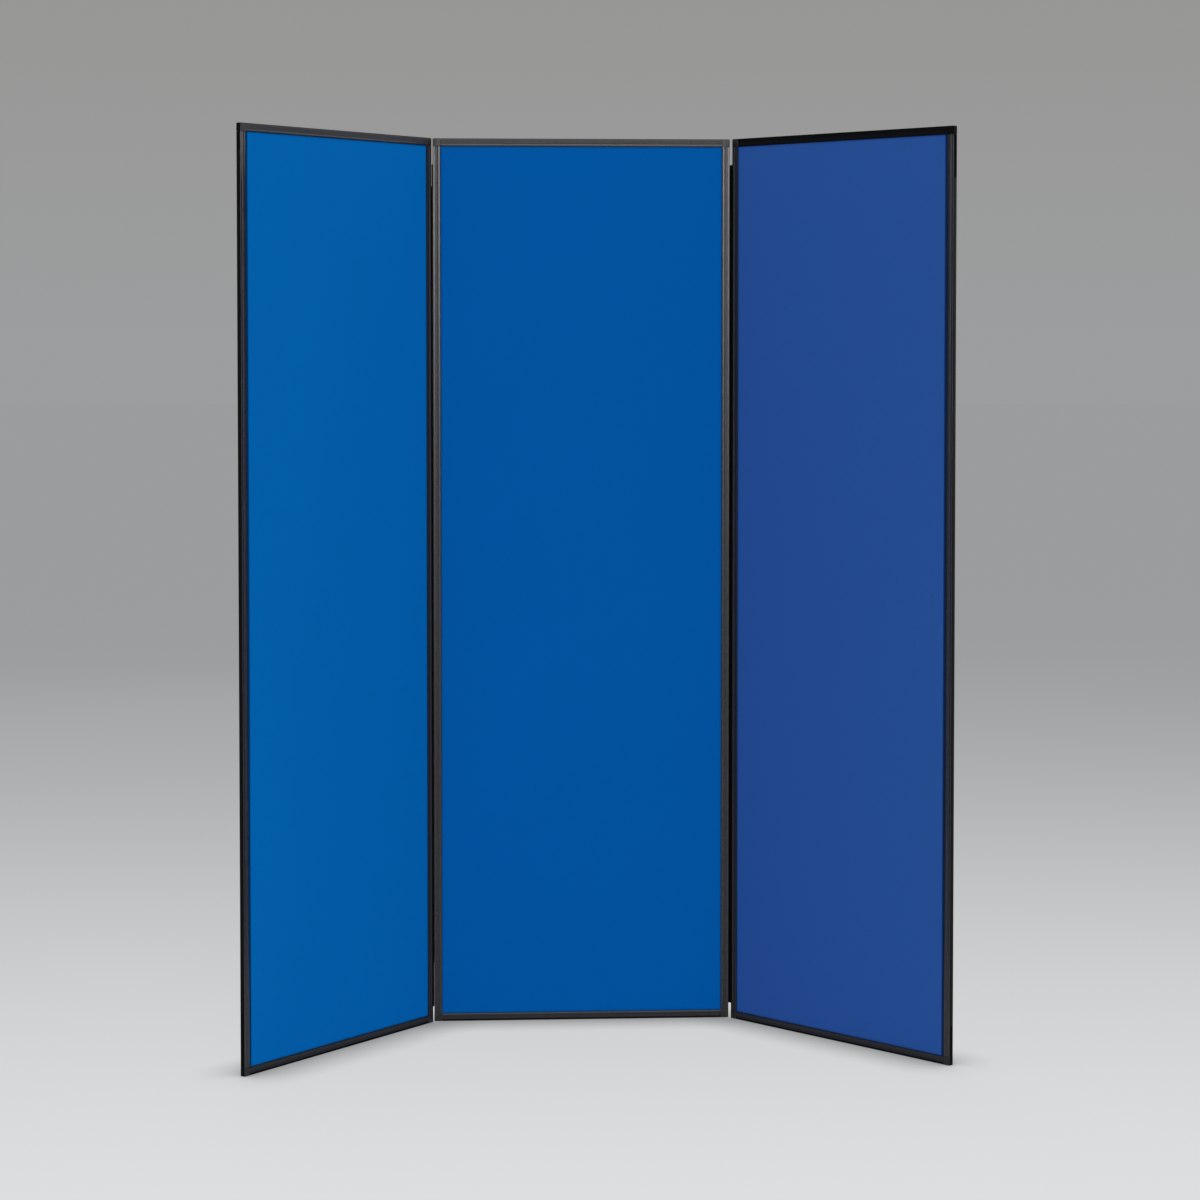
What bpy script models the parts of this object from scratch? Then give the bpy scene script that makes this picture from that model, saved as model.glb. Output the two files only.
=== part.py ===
"""Folding display board: three upright fabric boards in plastic frames, linked edge to edge.

Each board is a light core with loop fabric on both faces. Its edges sit in the slot of a plastic
frame made of two stiles, two rails and four moulded corner pieces that plug into their hollows.
A tape lies in a channel down each side of the frame, loop tape on the left and hook tape on the
right. A flexible web joins the tapes of two neighbouring panels. It folds freely along a line beside
each panel, so that a wing swings both forwards and backwards, and lies flat on its neighbour.

Sizes are in metres. +X is to the right seen from the front, the front faces -Y, and +Z is up.
The origin is the middle of the underside of the centre panel, halfway through its thickness.
"""

import math

import bmesh
import bpy

# Driving sizes: one panel with its frame.
PANEL_HEIGHT = 1.800
PANEL_WIDTH = 0.604
FRAME_DEPTH = 0.010
FRAME_FACE = 0.016

# How far each fold line stands turned forward. The left web leans further forward than its wing,
# and the right web lies in line with its wing.
LEFT_INNER_FOLD = math.radians(62.0)
LEFT_OUTER_FOLD = math.radians(-9.15)
RIGHT_INNER_FOLD = math.radians(52.0)
RIGHT_OUTER_FOLD = math.radians(0.0)

# The gap kept between two pieces that seat on each other.
FIT_GAP = 0.0003

# The board: a core with fabric on both faces.
CORE_THICKNESS = 0.0036
FABRIC_THICKNESS = 0.0008

# The frame's section. Shares are of the face width, or of the wall beside the board's slot.
SLOT_DEPTH = 0.0070
CHAMBER_WALL = 0.0012
CHANNEL_DEPTH = 0.0015
CHANNEL_RIM = 0.0012
RIM_ROUND_SHARE = 0.6
OUTER_LIP_SHARE = 0.25
BAND_START_SHARE = 0.28
BAND_END_SHARE = 0.57
INNER_LIP_SHARE = 0.60
LIP_CREST_SHARE = 0.86
BAND_DEPTH_SHARE = 0.25
LIP_DROP_SHARE = 0.6

# The corner pieces.
SPIGOT_LENGTH = 0.020
CORNER_ROUND = 0.0025
CORNER_EDGE = 0.0004

# The tapes in the side channels, and where each ends below the top and above the underside.
TAPE_PROUD = 0.0003
TAPE_EDGE_SHARE = 0.25
LOOP_TAPE_DROP = 0.052
LOOP_TAPE_RISE = 0.120
HOOK_TAPE_DROP = 0.097
HOOK_TAPE_RISE = 0.075

# The hinge webs, and how far above the underside they end, below the tapes that hold them.
WEB_THICKNESS = 0.0005
WEB_RISE = 0.030
FOLDED_GAP = 0.0005

# Facets of the rounded edges.
ROUND_STEPS = 4
WEB_END_STEPS = 6
SMOOTH_ANGLE = math.radians(35.0)

# Sizes worked out from those above.
SLOT_HALF = CORE_THICKNESS / 2 + FABRIC_THICKNESS + 2 * FIT_GAP
SLOT_WALL = FRAME_DEPTH / 2 - SLOT_HALF
CHANNEL_HALF = FRAME_DEPTH / 2 - CHANNEL_RIM
CHAMBER_START = CHANNEL_DEPTH + CHAMBER_WALL
CHAMBER_END = FRAME_FACE - SLOT_DEPTH - CHAMBER_WALL
MEMBER_INSET = FRAME_FACE + FIT_GAP
BOARD_INSET = FRAME_FACE - SLOT_DEPTH + FIT_GAP
WEB_REACH = FRAME_DEPTH + FOLDED_GAP
FOLD_LINE_OFFSET = TAPE_PROUD + FIT_GAP + WEB_THICKNESS / 2


def clear_scene():
    """Start from an empty scene."""
    for obj in list(bpy.data.objects):
        bpy.data.objects.remove(obj, do_unlink=True)


def finish(name, color, roughness, metallic=0.0):
    """A plain material with one colour."""
    material = bpy.data.materials.new(name)
    material.use_nodes = True
    shader = material.node_tree.nodes["Principled BSDF"]
    shader.inputs["Base Color"].default_value = (*color, 1.0)
    shader.inputs["Roughness"].default_value = roughness
    shader.inputs["Metallic"].default_value = metallic
    return material


def fabric_finish():
    """Blue loop fabric."""
    return finish("blue_loop_fabric", (0.004, 0.086, 0.345), 0.95)


def core_finish():
    """Pale grey core, hidden by the fabric and the frame."""
    return finish("pale_core", (0.55, 0.55, 0.53), 0.8)


def frame_finish():
    """Charcoal extruded plastic."""
    return finish("charcoal_extrusion", (0.050, 0.048, 0.052), 0.42)


def corner_finish():
    """Charcoal moulded plastic, a little duller than the extrusion."""
    return finish("charcoal_moulding", (0.044, 0.043, 0.046), 0.5)


def loop_tape_finish():
    """Dark grey looped pile."""
    return finish("loop_tape", (0.030, 0.030, 0.032), 0.9)


def hook_tape_finish():
    """Black hook tape."""
    return finish("hook_tape", (0.020, 0.020, 0.021), 0.7)


def web_finish():
    """Black soft plastic."""
    return finish("soft_web", (0.012, 0.012, 0.013), 0.55)


def ring(mesh, outline):
    """The closed ring of edges through an outline's points, at z = 0."""
    corners = [mesh.verts.new((x, y, 0.0)) for x, y in outline]
    return [mesh.edges.new((a, b)) for a, b in zip(corners, corners[1:] + corners[:1])]


def prism(name, length, outline, hollow=None):
    """A straight length of one section, up from z = 0, with an open hollow through it if given."""
    shape = bmesh.new()
    edges = ring(shape, outline)
    if hollow:
        edges += ring(shape, hollow)
    filled = bmesh.ops.triangle_fill(shape, use_beauty=True, use_dissolve=False, edges=edges)
    section = [item for item in filled["geom"] if isinstance(item, bmesh.types.BMFace)]
    grown = bmesh.ops.extrude_face_region(shape, geom=section)
    top = [item for item in grown["geom"] if isinstance(item, bmesh.types.BMVert)]
    bmesh.ops.translate(shape, verts=top, vec=(0.0, 0.0, length))
    bmesh.ops.recalc_face_normals(shape, faces=shape.faces)
    return mesh_from(name, shape)


def mesh_from(name, shape):
    """A mesh made from a bmesh, smooth but for its sharp edges."""
    mesh = bpy.data.meshes.new(name)
    shape.to_mesh(mesh)
    shape.free()
    mesh.shade_smooth()
    mesh.set_sharp_from_angle(angle=SMOOTH_ANGLE)
    return mesh


def rectangle(x_low, x_high, y_low, y_high):
    """The four corners of a rectangle."""
    return [(x_low, y_low), (x_high, y_low), (x_high, y_high), (x_low, y_high)]


def arc(center, radius, start, turn, steps):
    """Points along an arc, its two ends included."""
    angles = [start + turn * step / steps for step in range(steps + 1)]
    return [(center[0] + radius * math.cos(a), center[1] + radius * math.sin(a)) for a in angles]


def mirrored_in_depth(points):
    """A half section's points, then the same points on the other face, in reverse order."""
    return points + [(x, -y) for x, y in reversed(points)]


def front_face_points():
    """The front face of a frame member, from its outer side inwards to the bottom of the slot.

    A lip runs along the outer side and a second, sloping one beside the board, with a shallow
    band between them.
    """
    face = -FRAME_DEPTH / 2
    band = face + SLOT_WALL * BAND_DEPTH_SHARE
    rounding = CHANNEL_RIM * RIM_ROUND_SHARE
    corner = arc((rounding, face + rounding), rounding, math.pi, math.pi / 2, ROUND_STEPS)
    return corner + [
        (FRAME_FACE * OUTER_LIP_SHARE, face),
        (FRAME_FACE * BAND_START_SHARE, band),
        (FRAME_FACE * BAND_END_SHARE, band),
        (FRAME_FACE * INNER_LIP_SHARE, face),
        (FRAME_FACE * LIP_CREST_SHARE, face),
        (FRAME_FACE, face + SLOT_WALL * LIP_DROP_SHARE),
        (FRAME_FACE, -SLOT_HALF),
        (FRAME_FACE - SLOT_DEPTH, -SLOT_HALF),
    ]


def chamber_outline():
    """The hollow along a frame member, between its outer wall and the board's slot."""
    return rectangle(CHAMBER_START, CHAMBER_END, -SLOT_HALF, SLOT_HALF)


def stile_mesh():
    """An upright frame member, its outer side at x = 0, with the tape's channel in that side."""
    channel = [(CHANNEL_DEPTH, -CHANNEL_HALF), (0.0, -CHANNEL_HALF)]
    outline = mirrored_in_depth(channel + front_face_points())
    return prism("stile", PANEL_HEIGHT - 2 * MEMBER_INSET, outline, chamber_outline())


def rail_mesh():
    """A level frame member, its outer side at x = 0, with no channel."""
    outline = mirrored_in_depth(front_face_points())
    return prism("rail", PANEL_WIDTH - 2 * MEMBER_INSET, outline, chamber_outline())


def board_mesh(name, thickness):
    """A sheet as large as the board, its lower left corner at the origin."""
    outline = rectangle(0.0, PANEL_WIDTH - 2 * BOARD_INSET, -thickness / 2, thickness / 2)
    return prism(name, PANEL_HEIGHT - 2 * BOARD_INSET, outline)


def box(name, low, high):
    """A helper box between two corners, for cutting and joining."""
    shape = bmesh.new()
    bmesh.ops.create_cube(shape, size=1.0)
    for vert in shape.verts:
        vert.co = [a if c < 0.0 else b for a, b, c in zip(low, high, vert.co)]
    helper = bpy.data.objects.new(name, mesh_from(name, shape))
    helper.hide_render = True
    helper.display_type = "WIRE"
    bpy.context.scene.collection.objects.link(helper)
    return helper


def corner_block():
    """The corner piece's block, its outer corner rounded and the rims of its two faces eased."""
    half = FRAME_DEPTH / 2
    block = box("corner_block", (0.0, -half, 0.0), (FRAME_FACE, half, FRAME_FACE))
    shape = bmesh.new()
    shape.from_mesh(block.data)
    outer = [e for e in shape.edges if all(v.co.x == 0.0 and v.co.z == 0.0 for v in e.verts)]
    bmesh.ops.bevel(shape, geom=outer, offset=CORNER_ROUND, segments=ROUND_STEPS, affect="EDGES", profile=0.5)
    rims = [e for e in shape.edges if abs(e.verts[0].co.y + e.verts[1].co.y) > half]
    bmesh.ops.bevel(shape, geom=rims, offset=CORNER_EDGE, segments=1, affect="EDGES", profile=0.5)
    shape.to_mesh(block.data)
    shape.free()
    return block


def corner_mesh():
    """A corner piece at the lower left: block, pocket for the board's corner, and two spigots."""
    block = corner_block()
    low = CHAMBER_START + FIT_GAP
    high = CHAMBER_END - FIT_GAP
    half = SLOT_HALF - FIT_GAP
    root = FRAME_FACE / 2
    tip = FRAME_FACE + FIT_GAP + SPIGOT_LENGTH
    pocket = FRAME_FACE - SLOT_DEPTH
    steps = (
        ("UNION", box("upright_spigot", (low, -half, root), (high, half, tip))),
        ("UNION", box("level_spigot", (root, -half, low), (tip, half, high))),
        ("DIFFERENCE", box("board_pocket", (pocket, -SLOT_HALF, pocket), (tip, SLOT_HALF, tip))),
    )
    for operation, tool in steps:
        modifier = block.modifiers.new(tool.name, "BOOLEAN")
        modifier.operation = operation
        modifier.object = tool
    graph = bpy.context.evaluated_depsgraph_get()
    mesh = bpy.data.meshes.new_from_object(block.evaluated_get(graph))
    for helper in [block] + [tool for _, tool in steps]:
        bpy.data.objects.remove(helper, do_unlink=True)
    mesh.name = "corner"
    mesh.shade_smooth()
    mesh.set_sharp_from_angle(angle=SMOOTH_ANGLE)
    return mesh


def tape_mesh(name, drop, rise):
    """A tape for a left-hand channel, its back to +X, its outer face proud of the frame's side."""
    thickness = CHANNEL_DEPTH + TAPE_PROUD - FIT_GAP
    half = CHANNEL_HALF - FIT_GAP
    edge = thickness * TAPE_EDGE_SHARE
    outline = [
        (edge, -half),
        (thickness, -half),
        (thickness, half),
        (edge, half),
        (0.0, half - edge),
        (0.0, edge - half),
    ]
    return prism(name, PANEL_HEIGHT - drop - rise, outline)


def web_mesh(name, drop):
    """A hinge web from its first fold line, at x = 0, to its second, with round edges."""
    radius = WEB_THICKNESS / 2
    first = arc((0.0, 0.0), radius, math.pi / 2, math.pi, WEB_END_STEPS)
    second = arc((WEB_REACH, 0.0), radius, -math.pi / 2, math.pi, WEB_END_STEPS)
    return prism(name, PANEL_HEIGHT - drop - WEB_RISE, first + second)


def place(name, mesh, material, carrier, location, turn_y=0.0, turn_z=0.0):
    """A piece of the board, placed in its carrier's frame."""
    piece = bpy.data.objects.new(name, mesh)
    if not mesh.materials:
        mesh.materials.append(None)
    piece.material_slots[0].link = "OBJECT"
    piece.material_slots[0].material = material
    piece.parent = carrier
    piece.location = location
    piece.rotation_euler = (0.0, turn_y, turn_z)
    bpy.context.scene.collection.objects.link(piece)
    return piece


def carrier(name, location, turn, parent=None):
    """An empty that carries one panel or web. A moving one stands on its fold line."""
    empty = bpy.data.objects.new(name, None)
    empty.parent = parent
    empty.location = location
    empty.rotation_euler = (0.0, 0.0, turn)
    bpy.context.scene.collection.objects.link(empty)
    return empty


def add_board(panel, base, left, meshes, looks):
    """The core and its two fabric faces, in the frame's slots."""
    corner = (left + BOARD_INSET, BOARD_INSET)
    cover = CORE_THICKNESS / 2 + FIT_GAP + FABRIC_THICKNESS / 2
    place(f"{panel}_core_board", meshes["core"], looks["core"], base, (corner[0], 0.0, corner[1]))
    place(f"{panel}_front_fabric", meshes["fabric"], looks["fabric"], base, (corner[0], -cover, corner[1]))
    place(f"{panel}_back_fabric", meshes["fabric"], looks["fabric"], base, (corner[0], cover, corner[1]))


def add_members(panel, base, left, meshes, looks):
    """The two stiles and two rails."""
    right = left + PANEL_WIDTH
    quarter = math.pi / 2
    look = looks["frame"]
    place(f"{panel}_left_stile", meshes["stile"], look, base, (left, 0.0, MEMBER_INSET))
    place(f"{panel}_right_stile", meshes["stile"], look, base, (right, 0.0, MEMBER_INSET), turn_z=math.pi)
    place(f"{panel}_bottom_rail", meshes["rail"], look, base, (right - MEMBER_INSET, 0.0, 0.0), -quarter)
    place(f"{panel}_top_rail", meshes["rail"], look, base, (left + MEMBER_INSET, 0.0, PANEL_HEIGHT), quarter)


def add_corners(panel, base, left, meshes, looks):
    """The four corner pieces, each a quarter turn from the next."""
    right = left + PANEL_WIDTH
    quarter = math.pi / 2
    spots = (
        ("bottom_left", left, 0.0, 0.0),
        ("top_left", left, PANEL_HEIGHT, quarter),
        ("top_right", right, PANEL_HEIGHT, math.pi),
        ("bottom_right", right, 0.0, -quarter),
    )
    for spot, x, z, turn in spots:
        place(f"{panel}_corner_{spot}", meshes["corner"], looks["corner"], base, (x, 0.0, z), turn)


def add_tapes(panel, base, left, meshes, looks):
    """The loop tape in the left side and the hook tape in the right side."""
    left_face = left - TAPE_PROUD
    right_face = left + PANEL_WIDTH + TAPE_PROUD
    place(f"{panel}_loop_tape", meshes["loop"], looks["loop"], base, (left_face, 0.0, LOOP_TAPE_RISE))
    place(
        f"{panel}_hook_tape",
        meshes["hook"],
        looks["hook"],
        base,
        (right_face, 0.0, HOOK_TAPE_RISE),
        turn_z=math.pi,
    )


def add_panel(panel, base, left, meshes, looks):
    """One whole panel on its carrier, its left side at x = left."""
    add_board(panel, base, left, meshes, looks)
    add_members(panel, base, left, meshes, looks)
    add_corners(panel, base, left, meshes, looks)
    add_tapes(panel, base, left, meshes, looks)


def add_left_wing(meshes, looks):
    """The left hinge web, level at its top with the wing's hook tape, and the left panel beyond it."""
    line = carrier("left_inner_fold_line", (-PANEL_WIDTH / 2 - FOLD_LINE_OFFSET, 0.0, 0.0), LEFT_INNER_FOLD)
    web = web_mesh("left_web", HOOK_TAPE_DROP)
    place("left_hinge_web", web, looks["web"], line, (0.0, 0.0, WEB_RISE), turn_z=math.pi)
    base = carrier("left_outer_fold_line", (-WEB_REACH, 0.0, 0.0), LEFT_OUTER_FOLD, line)
    add_panel("left_panel", base, -FOLD_LINE_OFFSET - PANEL_WIDTH, meshes, looks)


def add_right_wing(meshes, looks):
    """The right hinge web, level at its top with the wing's loop tape, and the right panel beyond it."""
    line = carrier("right_inner_fold_line", (PANEL_WIDTH / 2 + FOLD_LINE_OFFSET, 0.0, 0.0), -RIGHT_INNER_FOLD)
    web = web_mesh("right_web", LOOP_TAPE_DROP)
    place("right_hinge_web", web, looks["web"], line, (0.0, 0.0, WEB_RISE))
    base = carrier("right_outer_fold_line", (WEB_REACH, 0.0, 0.0), -RIGHT_OUTER_FOLD, line)
    add_panel("right_panel", base, FOLD_LINE_OFFSET, meshes, looks)


def main():
    """Build the three panels and the two hinge webs."""
    clear_scene()
    looks = {
        "core": core_finish(),
        "fabric": fabric_finish(),
        "frame": frame_finish(),
        "corner": corner_finish(),
        "loop": loop_tape_finish(),
        "hook": hook_tape_finish(),
        "web": web_finish(),
    }
    meshes = {
        "core": board_mesh("core", CORE_THICKNESS),
        "fabric": board_mesh("fabric", FABRIC_THICKNESS),
        "stile": stile_mesh(),
        "rail": rail_mesh(),
        "corner": corner_mesh(),
        "loop": tape_mesh("loop_tape", LOOP_TAPE_DROP, LOOP_TAPE_RISE),
        "hook": tape_mesh("hook_tape", HOOK_TAPE_DROP, HOOK_TAPE_RISE),
    }
    centre = carrier("centre_panel_base", (0.0, 0.0, 0.0), 0.0)
    add_panel("centre_panel", centre, -PANEL_WIDTH / 2, meshes, looks)
    add_left_wing(meshes, looks)
    add_right_wing(meshes, looks)


if __name__ == "__main__":
    main()
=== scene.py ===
"""Folding display board, dressed for its photograph.

Three tall cloth-faced panels stand in charcoal plastic frames, linked edge to edge by soft webs
between hook and loop tapes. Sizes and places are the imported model's, in metres. +X is to the right
seen from the front, the front faces -Y, and +Z is up.
"""

import logging
import math
from dataclasses import dataclass, field
from enum import Enum

import bmesh
import bpy
import numpy as np
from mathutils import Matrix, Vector
from mathutils.geometry import tessellate_polygon


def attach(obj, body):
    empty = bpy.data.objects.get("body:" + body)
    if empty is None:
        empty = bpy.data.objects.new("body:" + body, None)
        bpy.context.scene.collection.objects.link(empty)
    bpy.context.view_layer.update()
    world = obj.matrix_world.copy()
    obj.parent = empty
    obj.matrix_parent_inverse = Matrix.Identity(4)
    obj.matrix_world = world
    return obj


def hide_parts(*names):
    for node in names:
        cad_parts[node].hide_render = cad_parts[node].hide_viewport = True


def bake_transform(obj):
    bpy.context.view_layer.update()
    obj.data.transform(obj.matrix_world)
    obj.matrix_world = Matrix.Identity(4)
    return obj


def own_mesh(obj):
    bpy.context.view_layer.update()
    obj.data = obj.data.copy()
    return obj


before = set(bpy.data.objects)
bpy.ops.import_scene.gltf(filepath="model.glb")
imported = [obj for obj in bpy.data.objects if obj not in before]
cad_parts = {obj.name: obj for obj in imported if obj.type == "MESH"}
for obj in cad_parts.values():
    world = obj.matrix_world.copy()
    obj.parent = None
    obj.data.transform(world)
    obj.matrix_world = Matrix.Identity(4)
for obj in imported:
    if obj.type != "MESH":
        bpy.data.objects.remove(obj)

LOG = logging.getLogger("display_board")
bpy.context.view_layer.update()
MM = 0.001
SHADE_FINISH_BELOW = 0.3  # a face with a lower value takes its piece's second finish, the near-black copy that paints shade
ARC_SHARE = 0.45  # the most of a short side that a corner's arc may take
ANGLE_MARGIN = 1e-4  # radians: how near a corner's half angle may come to 0 or a right angle
SMALLEST_ARC = 1e-7
SAME_PLACE = 1e-8
NO_LENGTH = 1e-12
NOISE_RANGE = (0.3, 0.7)  # where nearly all of a noise's values lie

Pair = tuple[float, float]
Triple = tuple[float, float, float]
Axes = tuple[Triple, Triple, Triple]
Socket = bpy.types.NodeSocket


class Side(Enum):
    """The two upright sides of a panel, and the way each faces along the panel's width."""

    LEFT = -1
    RIGHT = 1


class Face(Enum):
    """The two broad faces of a panel, and the way each faces in depth."""

    FRONT = -1
    BACK = 1


class Pile(Enum):
    """What stands on a tape."""

    LOOP = "loop"
    HOOK = "hook"


# Sizes and places


@dataclass(frozen=True)
class PanelSizes:
    """One framed panel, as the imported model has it."""

    height: float = 1.800
    width: float = 0.604
    depth: float = 0.010
    face: float = 0.016
    fit_gap: float = 0.0003
    core: float = 0.0036
    cloth: float = 0.0008
    slot_depth: float = 0.0070
    slot_half: float = 0.0032
    channel_depth: float = 0.0015
    channel_half: float = 0.0038
    hollow_start: float = 0.0027
    hollow_end: float = 0.0078

    @property
    def member_inset(self) -> float:
        """How far a stile or rail ends from the panel's corner."""
        return self.face + self.fit_gap

    @property
    def board_inset(self) -> float:
        """How far the board's edge lies inside the frame's outer side."""
        return self.face - self.slot_depth + self.fit_gap

    @property
    def board_width(self) -> float:
        """The board's width."""
        return self.width - 2 * self.board_inset

    @property
    def board_height(self) -> float:
        """The board's height."""
        return self.height - 2 * self.board_inset


@dataclass(frozen=True)
class TapeSizes:
    """How far a tape ends below the top and above the underside."""

    drop: float
    rise: float

    def span(self, height: float) -> Pair:
        """The lowest and highest point on a panel of this height."""
        return self.rise, height - self.drop


SIZES = PanelSizes()
LOOP_SPAN = TapeSizes(drop=0.052, rise=0.120).span(SIZES.height)
HOOK_SPAN = TapeSizes(drop=0.097, rise=0.075).span(SIZES.height)
# The webs reach down to 30 mm, below the tapes: partly the hinge, and partly a dark sheet that paints
# the shade low in the joints' gaps.
WEB_RISE = 0.030
LEFT_WEB_SPAN = (WEB_RISE, HOOK_SPAN[1])
RIGHT_WEB_SPAN = (WEB_RISE, LOOP_SPAN[1])
LINE_OFFSET = 0.85 * MM  # from a panel's side to the fold line beside it
WEB_REACH = 10.5 * MM  # from one fold line of a web to the other


@dataclass(frozen=True)
class Station:
    """Where a panel stands: its origin in plan, its turn about the upright, and its left side."""

    body: str
    x: float
    y: float
    turn: float
    left: float

    def carry(self, points: np.ndarray) -> np.ndarray:
        """Takes points from the panel's own frame to the row's frame.

        Args:
            points: an array whose last axis is (across, depth, up).

        Returns:
            The points turned about the upright by turn and moved to the station.
        """
        c, s = math.cos(self.turn), math.sin(self.turn)
        turned = points @ np.array([[c, s, 0.0], [-s, c, 0.0], [0.0, 0.0, 1.0]])
        return turned + np.array([self.x, self.y, 0.0])

    def side(self, side: Side) -> float:
        """The panel's own coordinate of one of its sides."""
        return self.left if side is Side.LEFT else self.left + SIZES.width


def wing_station(body: str, side: Side, inner: float, outer: float) -> Station:
    """The station of a wing beyond its web.

    Args:
        body: the wing's body.
        side: the side of the centre panel on which it stands.
        inner: how far the web is turned forward, in degrees.
        outer: how far the wing is turned forward of its web, in degrees.

    Returns:
        The station, its origin on the fold line between web and wing.
    """
    first, total = math.radians(inner), math.radians(inner + outer)
    x = side.value * (SIZES.width / 2 + LINE_OFFSET + WEB_REACH * math.cos(first))
    y = -WEB_REACH * math.sin(first)
    left = LINE_OFFSET if side is Side.RIGHT else -LINE_OFFSET - SIZES.width
    return Station(body, x, y, -side.value * total, left)


CENTRE = Station("centre_panel", 0.0, 0.0, 0.0, -SIZES.width / 2)
LEFT_WING = wing_station("left_panel", Side.LEFT, 62.0, -9.15)
RIGHT_WING = wing_station("right_panel", Side.RIGHT, 52.0, 0.0)


# Surfaces


@dataclass
class Surface:
    """Points with four-sided and three-sided faces, flat coordinates for each face corner, and one
    value for each point that its finish reads: gloss and painted light on a frame, painted shade on a
    cloth."""

    points: np.ndarray
    quads: np.ndarray
    quad_uv: np.ndarray
    tris: np.ndarray = field(default_factory=lambda: np.zeros((0, 3), int))
    tri_uv: np.ndarray = field(default_factory=lambda: np.zeros((0, 3, 2)))
    mask: np.ndarray | None = None

    def masked(self) -> np.ndarray:
        """The finish's values, zero where none were given."""
        return np.zeros(len(self.points)) if self.mask is None else self.mask

    def volume(self) -> float:
        """A sixth of the sum of each triangle's triple product, with every quad cut in two.

        Returns:
            The volume, positive where the faces point out.
        """
        a, b, c, d = (self.points[self.quads[:, i]] for i in range(4))
        total = np.einsum("ij,ij->", a, np.cross(b, c)) + np.einsum("ij,ij->", a, np.cross(c, d))
        if len(self.tris):
            a, b, c = (self.points[self.tris[:, i]] for i in range(3))
            total += np.einsum("ij,ij->", a, np.cross(b, c))
        return float(total) / 6

    def outward(self) -> "Surface":
        """Turns the faces of a closed surface outwards.

        Returns:
            The same surface.
        """
        if self.volume() < 0:
            self.quads, self.quad_uv = self.quads[:, ::-1], self.quad_uv[:, ::-1]
            self.tris, self.tri_uv = self.tris[:, ::-1], self.tri_uv[:, ::-1]
        return self


def rounded(outline: np.ndarray, radii: np.ndarray, steps: int = 4) -> tuple[np.ndarray, np.ndarray]:
    """A closed outline with each corner turned into an arc.

    A corner P with unit vectors a and b towards its neighbours and half angle h between them gets
    the arc of radius r about P + (a + b) / |a + b| * r / sin h, from P + a * r / tan h to
    P + b * r / tan h. No arc takes more than ARC_SHARE of the shorter side beside it.

    Args:
        outline: (n, 2) corners in order.
        radii: (n,) radius at each corner, 0 for a sharp one.
        steps: straight pieces in each arc.

    Returns:
        (m, 2) points in order, with no two neighbours alike, and the corner that each came from.
    """
    to_last, to_next = np.roll(outline, 1, 0) - outline, np.roll(outline, -1, 0) - outline
    last, following = np.linalg.norm(to_last, axis=1), np.linalg.norm(to_next, axis=1)
    a, b = to_last / last[:, None], to_next / following[:, None]
    half = np.arccos(np.clip((a * b).sum(1), -1, 1)) / 2
    half = np.clip(half, ANGLE_MARGIN, math.pi / 2 - ANGLE_MARGIN)
    reach = np.minimum(radii / np.tan(half), ARC_SHARE * np.minimum(last, following))
    radius = reach * np.tan(half)
    middle = a + b
    middle /= np.maximum(np.linalg.norm(middle, axis=1, keepdims=True), NO_LENGTH)
    centre = outline + middle * (radius / np.sin(half))[:, None]
    first, second = (outline + way * reach[:, None] - centre for way in (a, b))
    sweep = math.pi - 2 * half[:, None, None]
    t = np.linspace(0, 1, steps + 1)[None, :, None]
    turned = np.sin((1 - t) * sweep) * first[:, None] + np.sin(t * sweep) * second[:, None]
    arcs = centre[:, None] + turned / np.sin(sweep)
    points = np.where(radius[:, None, None] > SMALLEST_ARC, arcs, outline[:, None]).reshape(-1, 2)
    apart = np.linalg.norm(points - np.roll(points, 1, 0), axis=1) > SAME_PLACE
    return points[apart], np.repeat(np.arange(len(outline)), steps + 1)[apart]


def oblong(low: float, high: float, half: float, radii: tuple[float, ...], steps: int) -> np.ndarray:
    """An outline from low to high and half to each side, its four corners rounded in order."""
    box = np.array([(low, -half), (high, -half), (high, half), (low, half)])
    return rounded(box, np.array(radii), steps)[0]


def anticlockwise(outline: np.ndarray) -> np.ndarray:
    """Puts an outline in anticlockwise order, by the sign of its area.

    Args:
        outline: (n, 2) points in order.

    Returns:
        The outline itself, or its points in reverse.
    """
    x, y = outline[:, 0], outline[:, 1]
    area = np.sum(x * np.roll(y, -1) - np.roll(x, -1) * y)
    return outline if area > 0 else outline[::-1]


def ring_quads(rings: int, count: int, start: int = 0) -> np.ndarray:
    """Faces between neighbouring closed rings of points.

    Args:
        rings: how many rings there are.
        count: points in each ring.
        start: the first ring's first point.

    Returns:
        ((rings - 1) * count, 4) point numbers.
    """
    r, c = np.meshgrid(np.arange(rings - 1), np.arange(count), indexing="ij")
    n = (c + 1) % count
    corners = [r * count + c, r * count + n, (r + 1) * count + n, (r + 1) * count + c]
    return np.stack(corners, -1).reshape(-1, 4) + start


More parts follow.
